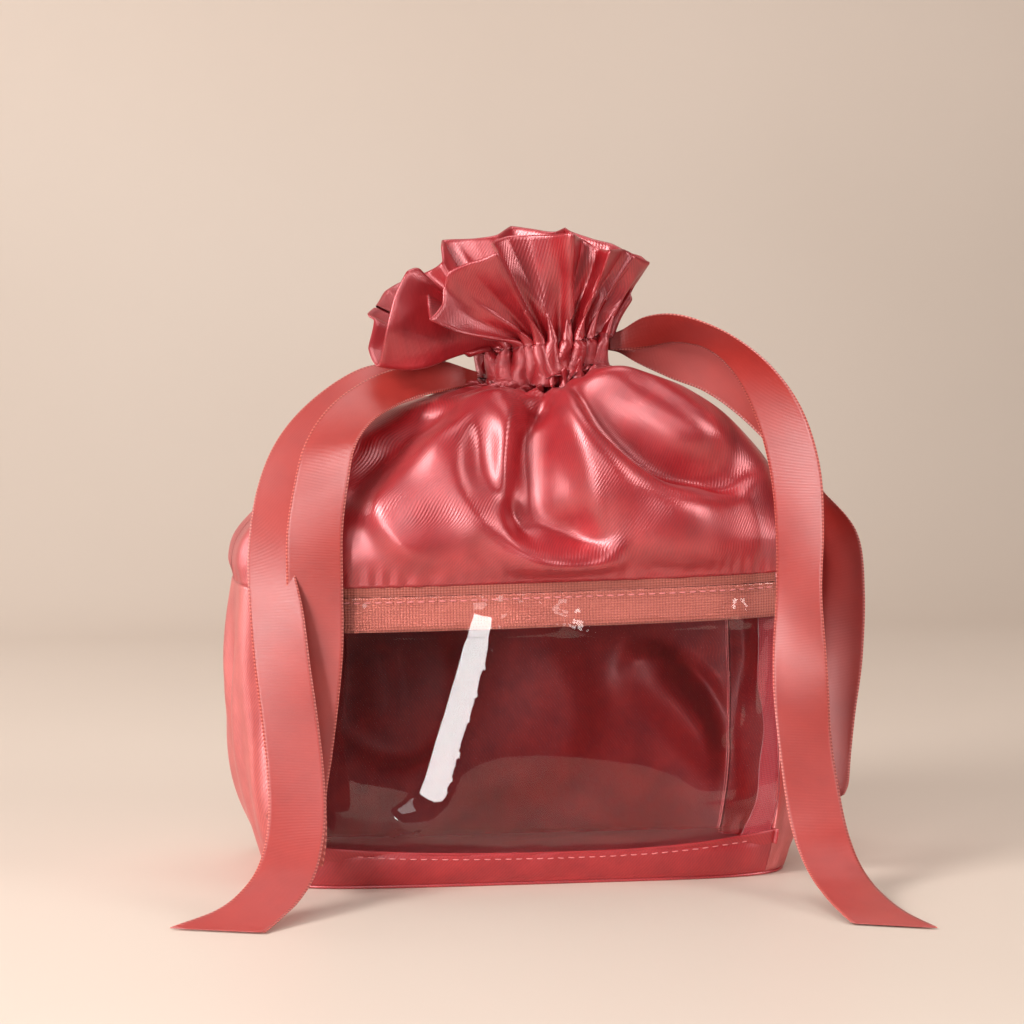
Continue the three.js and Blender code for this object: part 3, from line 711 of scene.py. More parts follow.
@dataclass(frozen=True)
class BagForm:
    """The smooth form that the cloth lies on. All lengths in millimetres."""

    base_width: float = 240.0
    base_depth: float = 114.0
    belly_width: float = 278.0
    belly_depth: float = 132.0
    seam_width: float = 270.0
    seam_depth: float = 126.0
    body_height: float = 138.0
    shoulder_height: float = 88.0
    shoulder_cloth: float = 180.0
    neck_width: float = 56.0
    neck_depth: float = 42.0
    neck_offset: float = 10.0
    neck_lean: float = 0.14
    casing_height: float = 20.0
    band_line: float = 18.9

    @property
    def casing_foot(self) -> float:
        """The height at which the casing starts."""
        return self.body_height + self.shoulder_height

    @property
    def casing_top_way(self) -> float:
        """The way up the cloth to the casing's top."""
        return self.shoulder_cloth + self.casing_height

    def body_rings(self, height: Array) -> tuple:
        """Half width, half depth and squareness of the lower body's outline at each height."""
        mid_width = (self.base_width + self.belly_width) / 2
        mid_depth = (self.base_depth + self.belly_depth) / 2
        knots = np.array([0, 0.15, 0.55, 1]) * self.body_height
        rows = np.array(
            [
                [self.base_width, self.base_depth, 5.6],
                [mid_width, mid_depth, 4.4],
                [self.belly_width, self.belly_depth, 3.2],
                [self.seam_width, self.seam_depth, 3.4],
            ]
        )
        width, depth, squareness = np.moveaxis(smooth_curve(knots, rows, height), -1, 0)
        return width / 2, depth / 2, squareness

    def corner_share(self, height: Array) -> Array:
        """The share of the perimeter at which the outline crosses its own box's diagonal."""
        half_width, half_depth, squareness = self.body_rings(height)
        shares = np.linspace(0, 0.25, 400)
        every = np.tile(shares, (len(height), 1))
        ring = np.abs(outline_points(half_width, half_depth, squareness, every))
        gap = ring[..., 1] / half_depth[:, None] - ring[..., 0] / half_width[:, None]
        return np.array([np.interp(0.0, row, shares) for row in gap])

    def wall_shares(self, wall: Wall, height: Array, across: Array, seam_gap: float = 0.0) -> Array:
        """Shares of the perimeter on one wall, from its first corner seam to its second.

        Args:
            wall: Which wall.
            height: The height of each row, shape (rows,).
            across: From 0 at the first seam to 1 at the second, shape (columns,).
            seam_gap: What is left free at each seam, as a share of the perimeter.

        Returns:
            Shape (rows, columns).
        """
        corner = self.corner_share(height)[:, None]
        ends = {
            Wall.FRONT: (corner, 0.5 - corner),
            Wall.RIGHT: (0.5 - corner, 0.5 + corner),
            Wall.BACK: (0.5 + corner, 1 - corner),
            Wall.LEFT: (-corner, corner),
        }
        start, end = ends[wall]
        return start + seam_gap + (end - start - 2 * seam_gap) * across

    def body_points(self, share: Array, height: Array) -> Array:
        """Points of the lower body's smooth wall, shape (rows, columns, 3)."""
        ring = outline_points(*self.body_rings(height), share)
        tall = np.broadcast_to(height[:, None], share.shape)
        return self.settled(np.concatenate([ring, tall[..., None]], axis=-1))

    def settled(self, points: Array) -> Array:
        """Lets the sewn lines drift as they do on the real bag.

        The band's edge dips in its middle and climbs to its right end, as a parabola on each side,
        and the tape climbs evenly to the right. Both fade out between the lines.
        """
        x, z = points[..., 0], points[..., 2]
        aside = (x - 10) / 120
        climb = np.where(aside < 0, 5.5, 10.4) * aside**2 - 3.5
        near_band = ease(0, self.band_line, z) * ease(80, self.band_line + 6, z)
        near_seam = ease(60, self.body_height - 10, z)
        near_seam = near_seam * ease(self.casing_foot, self.body_height + 12, z)
        rise = 5 * np.tanh(climb / 5) * near_band + 0.02 * (x + 20) * near_seam
        return points + rise[..., None] * UP

    def top_points(self, share: Array, way: Array) -> Array:
        """Points of the smooth top, by the way up its cloth: the shoulder, then the casing.

        Each ring is an outline that leans with x.

        Args:
            share: Shape (rows, columns).
            way: Shape (rows,).

        Returns:
            Shape (rows, columns, 3).
        """
        cloth, tall = self.shoulder_cloth, self.shoulder_height
        knots = np.array([0, 0.1, 0.2, 0.322, 0.444, 0.589, 0.744, 0.878, 1]) * cloth
        rise = np.array([0, 0.2, 0.39, 0.59, 0.77, 0.91, 0.975, 0.985, 1]) * tall + self.body_height
        middle = np.array([0, 0, 0.1, 0.3, 0.3, 0.6, 0.8, 0.9, 1]) * self.neck_offset
        wide = np.array([1, 0.981, 0.874, 0.76, 0.621, 0.42, 0.205, 0.079, 0])
        deep = np.array([1, 1.105, 1.075, 0.94, 0.745, 0.49, 0.235, 0.077, 0])
        width = self.neck_width + (self.seam_width - self.neck_width) * wide
        depth = self.neck_depth + (self.seam_depth - self.neck_depth) * deep
        square = np.array([3.4, 3.1, 2.8, 2.6, 2.5, 2.4, 2.3, 2.2, 2.1])
        lean = np.array([0, 0, 0.07, 0.14, 0.21, 0.36, 0.64, 0.86, 1]) * self.neck_lean
        rows = np.stack([rise, middle, width, depth, square, lean], axis=-1)
        read = smooth_curve(knots, rows, np.minimum(way, cloth))
        rise, middle, width, depth, square, lean = np.moveaxis(read, -1, 0)
        ring = outline_points(width / 2, depth / 2, square, share)
        casing = np.maximum(way - cloth, 0)
        x, y = ring[..., 0], ring[..., 1]
        z = (rise + casing)[:, None] + lean[:, None] * x
        return self.settled(np.stack([x + middle[:, None], y, z], axis=-1))


@dataclass(frozen=True)
class FoldLine:
    """One ridge or valley pressed into the cloth, drawn on the upright plane that the photo shows.

    Its relief is the line smeared by a bell of exp(-(d / width)^2), so that it has no hard edge at
    a bend. The width is one figure on its left and one on its right as it is followed from its
    first point. A crease with a flat flank falls straight on its right instead, as 1 - d / width,
    and as exp(-(d / width)^1.5) on its left.
    """

    name: str
    points: tuple
    height: float
    left: float
    right: float
    fade_start: float = 0.2
    fade_end: float = 0.2
    flat_flank: bool = False

    def relief(self, at: Array) -> Array:
        """How far the line lifts the cloth at each place of the plane.

        Args:
            at: Right and up in millimetres, shape (n, 2).

        Returns:
            The lift in millimetres, shape (n,).
        """
        line = spline(self.points, 70)
        steps = np.gradient(line, axis=0)
        run = np.linalg.norm(steps, axis=-1)
        reach = at[:, None, :] - line[None]
        distance = np.linalg.norm(reach, axis=-1)
        aside = (steps[:, 0] * reach[..., 1] - steps[:, 1] * reach[..., 0]) / run
        part = np.linspace(0, 1, len(line))
        fade = ease(0, max(self.fade_start, 1e-3), part)
        fade = fade * ease(0, max(self.fade_end, 1e-3), 1 - part)
        if self.flat_flank:
            nearest = distance.argmin(axis=1)
            rows = np.arange(len(at))
            gap, side = distance[rows, nearest], aside[rows, nearest]
            steep = np.exp(-((gap / self.left) ** 1.5))
            profile = np.where(side > 0, steep, np.clip(1 - gap / self.right, 0, 1))
            return self.height * (0.1 + 0.9 * fade[nearest]) * profile
        width = self.right + (self.left - self.right) * (0.5 + 0.5 * np.tanh(aside / 3))
        bell = fade * run * np.exp(-((distance / width) ** 2)) / width
        smeared = bell.sum(axis=1) / math.sqrt(math.pi)
        return self.height * np.tanh(1.2 * smeared) / math.tanh(1.2)


def pressed(points: Array, folds: Sequence[FoldLine]) -> Array:
    """The summed lift of fold lines at points of the cloth, as they appear in the photo's view."""
    flat = VIEW.on_plane(points).reshape(-1, 2)
    total = sum(fold.relief(flat) for fold in folds)
    return total.reshape(points.shape[:-1])


FRONT_FOLDS = (
    FoldLine("curl_ridge", ((5, 58), (-1, 48), (-4, 36), (-4, 17), (-2, 1), (2, -11), (10, -18),
        (22, -22), (34, -25), (50, -25), (60, -23)), 8.0, 8.5, 15),
    FoldLine("curl_valley", ((12, 51), (7, 38), (4, 17), (5, -1), (9, -9), (18, -13), (34, -14),
        (44, -14)), -11.5, 13, 6),
    FoldLine("under_curl", ((-20, -8), (-6, -22), (14, -31), (36, -33), (58, -31)), -4.5, 7, 7),
    FoldLine("diagonal_ridge", ((18, 57), (27, 47), (34, 37), (44, 27), (55, 19), (67, 13),
        (78, 10), (91, 9), (104, 6)), 8.5, 5, 15),
    FoldLine("diagonal_valley", ((24, 60), (41, 43), (55, 32), (67, 24), (76, 18), (91, 15),
        (104, 15), (107, 20)), -12.5, 11, 7),
    FoldLine("upper_ridge", ((24, 64), (43, 60), (58, 51), (72, 41), (86, 33), (98, 27)),
        8.5, 11, 9),
    FoldLine("shoulder_ridge", ((50, 65), (70, 57), (88, 44), (102, 30), (109, 17), (111, 5)),
        4.5, 12, 10),
    FoldLine("bulge_ridge", ((-22, 42), (-25, 29), (-24, 17), (-18, 6), (-11, -4), (-1, -14),
        (13, -22), (30, -27)), 5.0, 8, 16),
    FoldLine("flank_valley", ((-11, 44), (-14, 28), (-13, 14), (-7, 2), (1, -9), (12, -17)),
        -8.5, 8, 8),
    FoldLine("plate_edge", ((-22, 42), (-43, 26), (-57, 12), (-59, 0), (-50, -12), (-36, -24)),
        5.5, 17, 9),
    FoldLine("left_valley", ((-24, 60), (-42, 44), (-58, 29), (-72, 18), (-84, 8)), -9.5, 12, 10),
    FoldLine("left_rise", ((-34, 58), (-14, 63), (2, 67)), 8.5, 8, 8, 0.3, 0.05),
    FoldLine("right_rise", ((23, 67), (38, 63), (60, 58)), 8.5, 8, 8, 0.05, 0.3),
    FoldLine("left_ridge", ((2, 62), (-15, 53), (-34, 38), (-50, 26)), 4.0, 10, 8),
    FoldLine("pocket_ridge", ((28, 54), (33, 36), (38, 18), (42, 0), (47, -16)),
        5.5, 15, 8, 0.1, 0.3),
    FoldLine("right_pillow", ((58, -6), (78, -12), (98, -12)), 7.5, 15, 15),
    FoldLine("seam_dip", ((50, -19), (62, -27), (76, -32), (90, -33)), -3.0, 9, 8),
)

NECK_HOLLOW = FoldLine("neck_hollow", ((10, 60), (11, 54), (12, 46)), -11.0, 6, 8, 0.0, 0.3)


@dataclass
class GatheredTop:
    """The satin top: two panels from the tape over the shoulder and casing to the ruffle."""

    form: BagForm = field(default_factory=BagForm)
    columns: int = 300
    seam_gap: float = 0.3
    turned_in: float = 1.6
    gather_depth: float = 4.4
    gather_lean: float = 2.8
    cinch: float = 6.5
    gathers_reach: float = 62.0
    mouth_width: float = 13.0
    pleat_depth: float = 2.2
    layers_gap: float = 1.3
    inner_foot_gap: float = 7.0
    shoulder_rows: int = 116
    casing_rows: int = 13
    ruffle_rows: int = 40
    measured_row: int = -16
    back_softness: float = 0.7

    crests: tuple = (
        0.022, 0.075, 0.119, 0.158, 0.19, 0.225, 0.258, 0.289, 0.33, 0.375, 0.425, 0.475, 0.525,
        0.575, 0.62, 0.665, 0.71, 0.755, 0.8, 0.845, 0.89, 0.935, 0.975,
    )
    ruffle_edge: tuple = (
        (0.0, -68.5, 0.0, 260.8), (0.014, -72.8, -8.0, 257.4), (0.026, -70.3, -14.0, 254.9),
        (0.045, -73.6, -22.0, 242.2), (0.075, -69.4, -36.0, 235.6), (0.088, -66.5, -42.0, 252.3),
        (0.098, -62.8, -40.0, 265.9), (0.11, -56.9, -38.0, 277.4), (0.119, -51.3, -34.0, 279.1),
        (0.13, -48.4, -30.0, 269.8), (0.143, -48.4, -38.0, 261.0), (0.158, -48.4, -52.0, 255.6),
        (0.17, -41.7, -46.0, 263.0), (0.179, -41.1, -44.0, 269.8), (0.188, -39.9, -46.0, 276.1),
        (0.203, -31.2, -47.0, 280.5), (0.215, -23.6, -49.0, 282.9), (0.225, -17.9, -51.0, 285.8),
        (0.236, -17.9, -36.0, 290.4), (0.247, -11.1, -30.0, 293.0), (0.26, -1.2, -31.0, 293.5),
        (0.274, 7.9, -37.0, 293.4), (0.289, 17.0, -45.0, 294.3), (0.3, 23.2, -29.0, 292.2),
        (0.316, 31.1, -30.0, 287.7), (0.33, 34.4, -41.0, 286.6), (0.35, 43.5, -23.0, 287.3),
        (0.395, 50.1, -20.0, 284.4), (0.455, 58.7, -10.0, 281.5), (0.5, 59.6, 0.0, 281.9),
        (0.53, 58.3, 7.0, 284.3), (0.57, 53.7, 16.0, 286.4), (0.61, 47.1, 26.0, 290.7),
        (0.64, 39.3, 30.0, 292.8), (0.675, 30.1, 38.0, 296.6), (0.69, 27.3, 44.0, 298.8),
        (0.71, 20.7, 36.0, 296.5), (0.745, 9.5, 42.0, 298.2), (0.765, 1.1, 46.0, 299.3),
        (0.785, -7.4, 34.0, 294.8), (0.81, -16.9, 34.0, 293.3), (0.84, -33.1, 38.0, 292.3),
        (0.855, -34.8, 28.0, 289.5), (0.875, -35.2, 20.0, 281.7), (0.9, -41.0, 24.0, 277.6),
        (0.935, -55.0, 24.0, 272.0), (0.965, -62.4, 16.0, 267.9),
    )

    def gather_wave(self, share: Array, way: Array) -> tuple:
        """The gathers round the neck: rounded ridges between sharp valleys, unevenly spaced.

        The ridge height is 2 |cos(phase / 2)|^0.7 - 1, where the phase turns once from one crest to
        the next. Inside the casing the crests wander sideways.

        Args:
            share: Shape (rows, columns).
            way: Shape (rows,).

        Returns:
            The height from -1 to 1, and the sine of the phase, by which a gather leans over.
        """
        first, last = self.crests[-1] - 1, self.crests[0] + 1
        places = np.array([first, *self.crests, last])
        casing = (way - self.form.shoulder_cloth)[:, None]
        turn = casing * 0.25
        wander = 0.007 * np.sin(TURN * 6 * share + 1 + turn)
        wander = (wander + 0.002 * np.sin(TURN * 11 * share + 2 - turn)) * ease(-12, 4, casing)
        phase = TURN * np.interp((share + wander) % 1.0, places, np.arange(-1, len(places) - 1))
        return 2 * np.abs(np.cos(phase / 2)) ** 0.7 - 1, -np.sin(phase)

    def gathered(self, share: Array, way: Array) -> Array:
        """The gathered shoulder and casing, before the big folds.

        The gathers rise smoothly over their reach below the casing and lean over sideways at their
        crests. The neck is drawn in by a bell of exp(-(d / 9)^2) near the casing's foot, more so on
        its front and back than on its sides.
        """
        form = self.form
        smooth = form.top_points(share, way)
        normal = grid_normals(smooth)
        tangent = unit(np.gradient(smooth, axis=1))
        wave, lean = self.gather_wave(share, way)
        near = ease(form.shoulder_cloth - self.gathers_reach, form.shoulder_cloth, way)[:, None]
        waist = np.exp(-(((way - form.casing_top_way + 16) / 9) ** 2))[:, None]
        uneven = np.sin(TURN * 7 * share + 0.7) * np.sin(TURN * 3 * share + 0.4)
        patchy = 0.85 + 0.4 * wrinkles(smooth, 20, 4) + 0.3 * uneven
        at_casing = ease(form.shoulder_cloth - 8, form.shoulder_cloth, way)[:, None]
        crushed = wrinkles(smooth, 16, 14) * 0.4 * at_casing
        drawn_in = self.cinch * waist * (0.4 + 0.6 * np.abs(normal[..., 1]))
        depth = self.gather_depth * near * patchy * wave + crushed - drawn_in
        sideways = (self.gather_lean * near * lean)[..., None]
        return smooth + normal * depth[..., None] + tangent * sideways

    def shoulder(self, half: Half, share: Array, way: Array) -> Array:
        """The shoulder and casing with their big folds, on the cloth that faces front or back.

        The back has the same kind of folds, as the front's seen in a mirror and softened.
        """
        form = self.form
        cloth = self.gathered(share, way)
        normal = grid_normals(form.top_points(share, way))
        facing = ease(0.1, 0.55, np.abs(normal[..., 1]))
        free = ease(form.shoulder_cloth + 3, form.shoulder_cloth - 8, way) * ease(0, 9, way)
        free = free[:, None]
        below_neck = ease(form.casing_top_way - 6, form.shoulder_cloth, way)[:, None]
        front = half is Half.FRONT
        seen = cloth if front else cloth * [-1, -1, 1]
        folds = pressed(seen, FRONT_FOLDS) * free + pressed(seen, (NECK_HOLLOW,)) * below_neck
        loose = wrinkles(cloth, 60, 11) * 0.225
        side = (1 - facing) * wrinkles(cloth * [1, 1, 0.35], 34, 23) * 2.6
        lift = folds * facing * (1.0 if front else self.back_softness) + (loose + side) * free
        return cloth + normal * (lift + self.seam_pucker(share, way))[..., None]

    def seam_pucker(self, share: Array, way: Array) -> Array:
        """Small puckers just above the tape's seam: uneven waves that die out within 9 mm."""
        turn = TURN * share
        phase = TURN * (74 * share + 0.8 * np.sin(5 * turn) + 0.5 * np.sin(13 * turn + 1))
        uneven = 0.5 + 0.5 * np.sin(9 * turn + 2) * np.sin(4 * turn)
        return 0.75 * np.sin(phase) * uneven * np.exp(-(((way - 3.5) / 4.5) ** 2))[:, None]

    def edge_points(self, share: Array) -> Array:
        """The ruffle's folded edge, a closed curve through listed points at given shares.

        It lies about half-way between the straight and the smooth way from point to point, so that
        the pleats are round and their tips stay crisp.
        """
        rows = np.array(self.ruffle_edge, float)
        around = np.concatenate([rows[-2:] - [1, 0, 0, 0], rows, rows[:3] + [1, 0, 0, 0]])
        places, points = around[:, 0], around[:, 1:]
        at = share % 1.0
        return 0.45 * read_line(at, places, points) + 0.55 * smooth_curve(places, points, at)

    def ruffle(self, start: Array, share: Array, steps: int) -> Array:
        """The ruffle's outer face between the casing's top and its folded edge.

        Each column is a cubic Bezier. It leaves the casing upwards, the more so the higher its edge
        lies, and one that goes out low sags a little before its edge.

        Args:
            start: The casing's top row, shape (columns, 3).
            share: The share of each column, shape (columns,).
            steps: How many rows to make above the start.

        Returns:
            Shape (steps, columns, 3).
        """
        edge = self.edge_points(share)
        reach = edge - start
        rising = np.clip(unit(reach)[:, 2], 0, 1)[:, None]
        leave = start + UP * (7 * rising + 1.5) + reach * 0.12
        arrive = edge - reach * 0.4 - UP * 7 * (1 - rising)
        part = np.linspace(0, 1, steps + 1)[1:, None, None]
        rest = 1 - part
        middle = 3 * rest**2 * part * leave + 3 * rest * part**2 * arrive
        return rest**3 * start + middle + part**3 * edge

    def panel(self, half: Half) -> Array:
        """The whole of one panel, as one grid from the tape's seam to the casing's inner foot.

        The rows are: the turned-in lower edge, the shoulder, the casing, the ruffle, its rolled
        edge, and the inner layer back down to the foot of the casing.
        """
        form, layers_gap = self.form, self.layers_gap
        way = np.concatenate([
            np.linspace(0, form.shoulder_cloth, self.shoulder_rows)[:-1],
            np.linspace(form.shoulder_cloth, form.casing_top_way, self.casing_rows),
        ])
        edge_gap = self.mouth_share(way)[:, None]
        share = half.value + edge_gap + (0.5 - 2 * edge_gap) * np.linspace(0, 1, self.columns)
        outer = self.shoulder(half, share, way)
        top_share = share[-1]
        face = np.concatenate([outer, self.ruffle(outer[-1], top_share, self.ruffle_rows)])
        normal = grid_normals(face)

        part = np.concatenate([np.zeros(len(outer) - 1), np.linspace(0, 1, self.ruffle_rows + 1)])
        part = part[:, None]
        pleat, _ = self.gather_wave(top_share[None], way[-1:])
        relief = wrinkles(face, 22, 8) * 0.6 + wrinkles(face, 34, 9) * 1.8
        stretch = np.linalg.norm(np.gradient(face[self.measured_row], axis=0), axis=-1)
        depth = self.pleat_depth * np.clip(stretch / stretch.mean(), 0.2, 2.2)
        pleats = depth * pleat * (1 - (1 - part) ** 2) * (1 - part) ** 1.6
        face = face + normal * (relief * np.sin(part * math.pi) + pleats)[..., None]

        back_down = slice(len(outer) - self.casing_rows, None)
        gap = np.concatenate([
            np.full(self.ruffle_rows, layers_gap),
            np.linspace(layers_gap, self.inner_foot_gap, self.casing_rows),
        ])
        inner = face[back_down][::-1] - normal[back_down][::-1] * gap[:, None, None]
        roll = face[-1] - normal[-1] * layers_gap / 2 + unit(face[-1] - face[-2]) * 0.8
        hem = face[:1] - normal[:1] * self.turned_in + UP * 2.5
        fold = face[:1] - normal[:1] * 0.5 - UP * 0.15
        return np.concatenate([hem, fold, face, roll[None], inner])

    def mouth_share(self, way: Array) -> Array:
        """The share of the perimeter that a panel leaves free at each side seam.

        It widens over the casing to half the mouth, and is only a seam's gap elsewhere.
        """
        foot, top = self.form.shoulder_cloth, self.form.casing_top_way
        ring = self.form.top_points(np.tile(np.linspace(0, 1, 200), (len(way), 1)), way)
        perimeter = np.linalg.norm(np.diff(ring, axis=1), axis=-1).sum(axis=1)
        inside = ease(foot, foot + 2.5, way) * ease(top, top - 2.5, way)
        return (self.seam_gap + (self.mouth_width / 2 - self.seam_gap) * inside) / perimeter

    def build(self, finishes: Finishes) -> None:
        for half, name in ((Half.FRONT, "front_top_panel"), (Half.BACK, "back_top_panel")):
            piece = dress(sheet_piece(name + "_cloth", self.panel(half)), finishes.satin)
            place(piece, "satin", name)


FILM_FOLDS = (
    FoldLine("long_crease", ((-2, -40), (-9, -62), (-15, -84), (-22, -107), (-29, -130),
        (-36, -142), (-46, -150), (-58, -154)), 5.1, 55, 14, 0.03, 0.1, True),
    FoldLine("left_crinkle", ((-70, -50), (-74, -80), (-68, -120), (-60, -145)), 1.6, 12, 14),
    FoldLine("right_crinkle_1", ((100, -45), (103, -66), (105, -90), (101, -110)), 1.2, 4, 4),
    FoldLine("right_crinkle_2", ((109, -43), (113, -64), (112, -88)), 1.0, 3, 4),
    FoldLine("right_crinkle_3", ((117, -48), (116, -70), (113, -96)), 0.9, 3, 3),
    FoldLine("tape_glint_1", ((25, -42), (27, -48), (26, -53)), 2.4, 4.5, 4.5),
    FoldLine("tape_glint_2", ((101, -38), (102, -44), (104, -50)), 1.9, 4, 4),
    FoldLine("tape_dent", ((-60, -41), (-40, -42), (-22, -41)), -0.6, 3, 4),
)

BACK_FOLDS = (
    FoldLine("slanting_fold", ((54, -74), (65, -71), (79, -84), (98, -105), (124, -132)),
        -13.0, 8, 15),
    FoldLine("slanting_crease", ((70, -70), (88, -84), (110, -112), (126, -135)), 10.0, 7, 6),
    FoldLine("round_fold", ((-36, -57), (-34, -79), (-41, -102), (-56, -110), (-76, -105)),
        -8.0, 8, 18),
    FoldLine("side_fold", ((-67, -60), (-62, -84), (-69, -98)), -5.0, 7, 9),
    FoldLine("middle_fold", ((13, -60), (23, -88), (20, -107), (4, -121), (-20, -130)),
        -6.0, 14, 22),
)


@dataclass
class LowerBody:
    """The walls under the top: the front band, window and tape, the gussets, back and base."""

    form: BagForm = field(default_factory=BagForm)
    cloth: float = 0.8
    film: float = 0.5
    wall_foot: float = 1.9
    band_top: float = 18.9
    band_lap: float = 8.0
    tape_foot: float = 118.0
    tape_lap: float = 16.0
    lap_ease: float = 6.0
    seam_gap: float = 0.03
    turned_in: float = 2.2
    stitch_in: float = 2.6
    perimeter: float = 740.0
    wall_rows: int = 90
    puffed_rows: int = 22
    tape_rows: int = 26
    film_rows: int = 110
    base_rings: int = 14
    band_columns: int = 220
    film_columns: int = 200
    tape_columns: int = 200
    gusset_columns: int = 110
    back_columns: int = 150
    base_columns: int = 240
    binding_columns: int = 14

    @property
    def film_top(self) -> float:
        """The height of the film's upper edge, on the tape."""
        return self.tape_foot + self.tape_lap

    def seam_share(self) -> float:
        """The seam's gap as a share of the perimeter, which is nearly the same all the way up."""
        return self.seam_gap / self.perimeter

    def smooth_wall(self, wall: Wall, heights: Array, across: Array) -> tuple:
        """Points of the smooth form over one wall, and the level way out of it at each."""
        share = self.form.wall_shares(wall, heights, across, self.seam_share())
        points = self.form.body_points(share, heights)
        return points, unit(grid_normals(points) * LEVEL)

    def wall(
        self, wall: Wall, heights: Array, across: Array, depth: Array, relief: Callable
    ) -> Array:
        """One wall panel's outer face.

        Args:
            wall: Which wall.
            heights: The height of each row, shape (rows,).
            across: The place of each column between the two seams, shape (columns,).
            depth: How far inside the outline each row lies, shape (rows,).
            relief: Gives the lift of each point of the smooth wall. It fades out at both seams.

        Returns:
            The grid, whose first and last column are turned in at the seams.
        """
        points, normal = self.smooth_wall(wall, heights, across)
        held = 0.1 + 0.9 * ease(0, 0.06, across) * ease(1, 0.94, across)
        points = points + normal * (relief(points) * held - depth[:, None])[..., None]
        points[:, 0] -= normal[:, 0] * self.turned_in
        points[:, -1] -= normal[:, -1] * self.turned_in
        return points

    def columns(self, count: int) -> Array:
        """Column places that are close together at both seams, where the cloth turns in."""
        inner = (1 - np.cos(np.linspace(0.12, math.pi - 0.12, count - 4))) / 2
        return np.concatenate([[0.0, 0.0012], inner, [0.9988, 1.0]])

    def band(self) -> bpy.types.Object:
        """The front band: a double layer whose top edge is a fold, puffed a little."""
        foot, top, rows, behind = self.wall_foot, self.band_top, self.puffed_rows, 6
        heights = np.concatenate([
            [foot - 1.3, foot - 0.7],
            np.linspace(foot, top - 0.5, rows),
            [top - 0.15, top],
            np.linspace(top - 0.3, top - 6, behind),
        ])
        depth = np.concatenate([[3.0, 0.9], np.zeros(rows), [0.15, 0.6], np.ones(behind)])
        across = self.columns(self.band_columns)
        grid = self.wall(Wall.FRONT, heights, across, depth, self.band_relief)
        return sheet_piece("base_band_cloth", grid)

    def band_relief(self, points: Array) -> Array:
        """A soft roll over the band's height, loose waves, and the groove of its stitches."""
        up = (points[..., 2] - self.wall_foot) / (self.band_top - self.wall_foot)
        roll = 1.3 * np.sin(np.clip(up, 0, 1) * math.pi) ** 0.8
        waves = 0.55 * wrinkles(points * [1, 1, 0.4], 32, 31) + 0.3 * wrinkles(points, 12, 32)
        groove = 0.4 * np.exp(-(((up - 0.82) / 0.05) ** 2))
        return (roll + waves) * ease(-0.05, 0.2, up) * ease(1.0, 0.8, up) - groove

    def film_depth(self, heights: Array) -> Array:
        """How far inside the outline the film lies: behind the band, and over the tape."""
        tucked = 1 - ease(self.band_top, self.band_top + self.lap_ease, heights)
        proud = ease(self.tape_foot - self.lap_ease, self.tape_foot, heights)
        return 1.3 * tucked - 0.8 * proud

    def film_relief(self, points: Array) -> Array:
        """The film's creases, crinkles and slow buckles, held flat where it is sewn.

        Over its lower half it is pulled taut, out to the belly's depth.
        """
        x, z = points[..., 0], points[..., 2]
        height = z.mean(axis=1)
        free = ease(self.band_top - 1, self.band_top + 14, z)
        free = free * (0.15 + 0.85 * ease(self.film_top - 3, self.film_top - 9, z))
        short = self.form.belly_depth / 2 - self.form.body_rings(height)[1]
        low = np.where(height < self.form.body_height * 0.55, 0.9, 0)
        taut = short * low * ease(self.band_top, self.band_top + 22, height)
        slow = wrinkles(points * [1, 1, 0.5], 60, 41) * 0.25 + wrinkles(points, 24, 42) * 0.05
        sewn = np.exp(-(((z - self.film_top + self.stitch_in) / 2.2) ** 2))
        pull = 0.3 * np.sin(x * TURN / 9.6) * sewn
        lift = (pressed(points, FILM_FOLDS) + slow) * free + pull + taut[:, None]
        return np.where(z > self.tape_foot - 1, np.maximum(lift, -0.5), lift)

    def window(self) -> bpy.types.Object:
        """The clear film, a closed sheet half a millimetre thick."""
        heights = np.linspace(self.band_top - self.band_lap, self.film_top, self.film_rows)
        across = np.linspace(0.004, 0.996, self.film_columns)
        points, normal = self.smooth_wall(Wall.FRONT, heights, across)
        lift = self.film_relief(points) - self.film_depth(heights)[:, None]
        outer = points + normal * lift[..., None]
        inner = outer - grid_normals(outer) * self.film
        return shell_piece("window_film_sheet", outer, inner)

    def tape(self) -> bpy.types.Object:
        """The woven tape behind the film's top edge, with a rounded lower edge."""
        foot, top, rows = self.tape_foot, self.form.body_height, self.tape_rows
        straight = np.linspace(foot, top, rows)
        heights = np.concatenate([[foot + 2.0, foot + 0.2], straight, [top + 0.2]])
        depth = np.concatenate([[0.8, 0.6], np.full(rows, 0.1), [1.5]])

        def relief(points: Array) -> Array:
            """A slight wave along the tape, and a dimple row where it is sewn."""
            sewn = np.exp(-(((points[..., 2] - self.film_top + self.stitch_in) / 1.2) ** 2))
            return 0.3 * wrinkles(points * [1, 1, 0.2], 40, 51) - 0.25 * sewn

        grid = self.wall(Wall.FRONT, heights, self.columns(self.tape_columns), depth, relief)
        return sheet_piece("window_tape_band", grid)

    def lined(self, name: str, wall: Wall, columns: int, relief: Callable) -> bpy.types.Object:
        """A full-height satin panel with its reverse inside, and its foot tucked in at the base."""
        heights = np.linspace(self.wall_foot, self.form.body_height, self.wall_rows)
        heights = np.concatenate([[0.6], heights])
        depth = np.concatenate([[2.4], np.zeros(self.wall_rows)])
        outer = self.wall(wall, heights, self.columns(columns), depth, relief)
        return shell_piece(name, outer, outer - grid_normals(outer) * self.cloth)

    def bulge(self, points: Array, fullness: float) -> Array:
        """Rises from 0 at the foot and the top to 1 half-way up, as sin(pi up)^fullness."""
        up = points[..., 2] / self.form.body_height
        return np.sin(np.clip(up, 0, 1) * math.pi) ** fullness

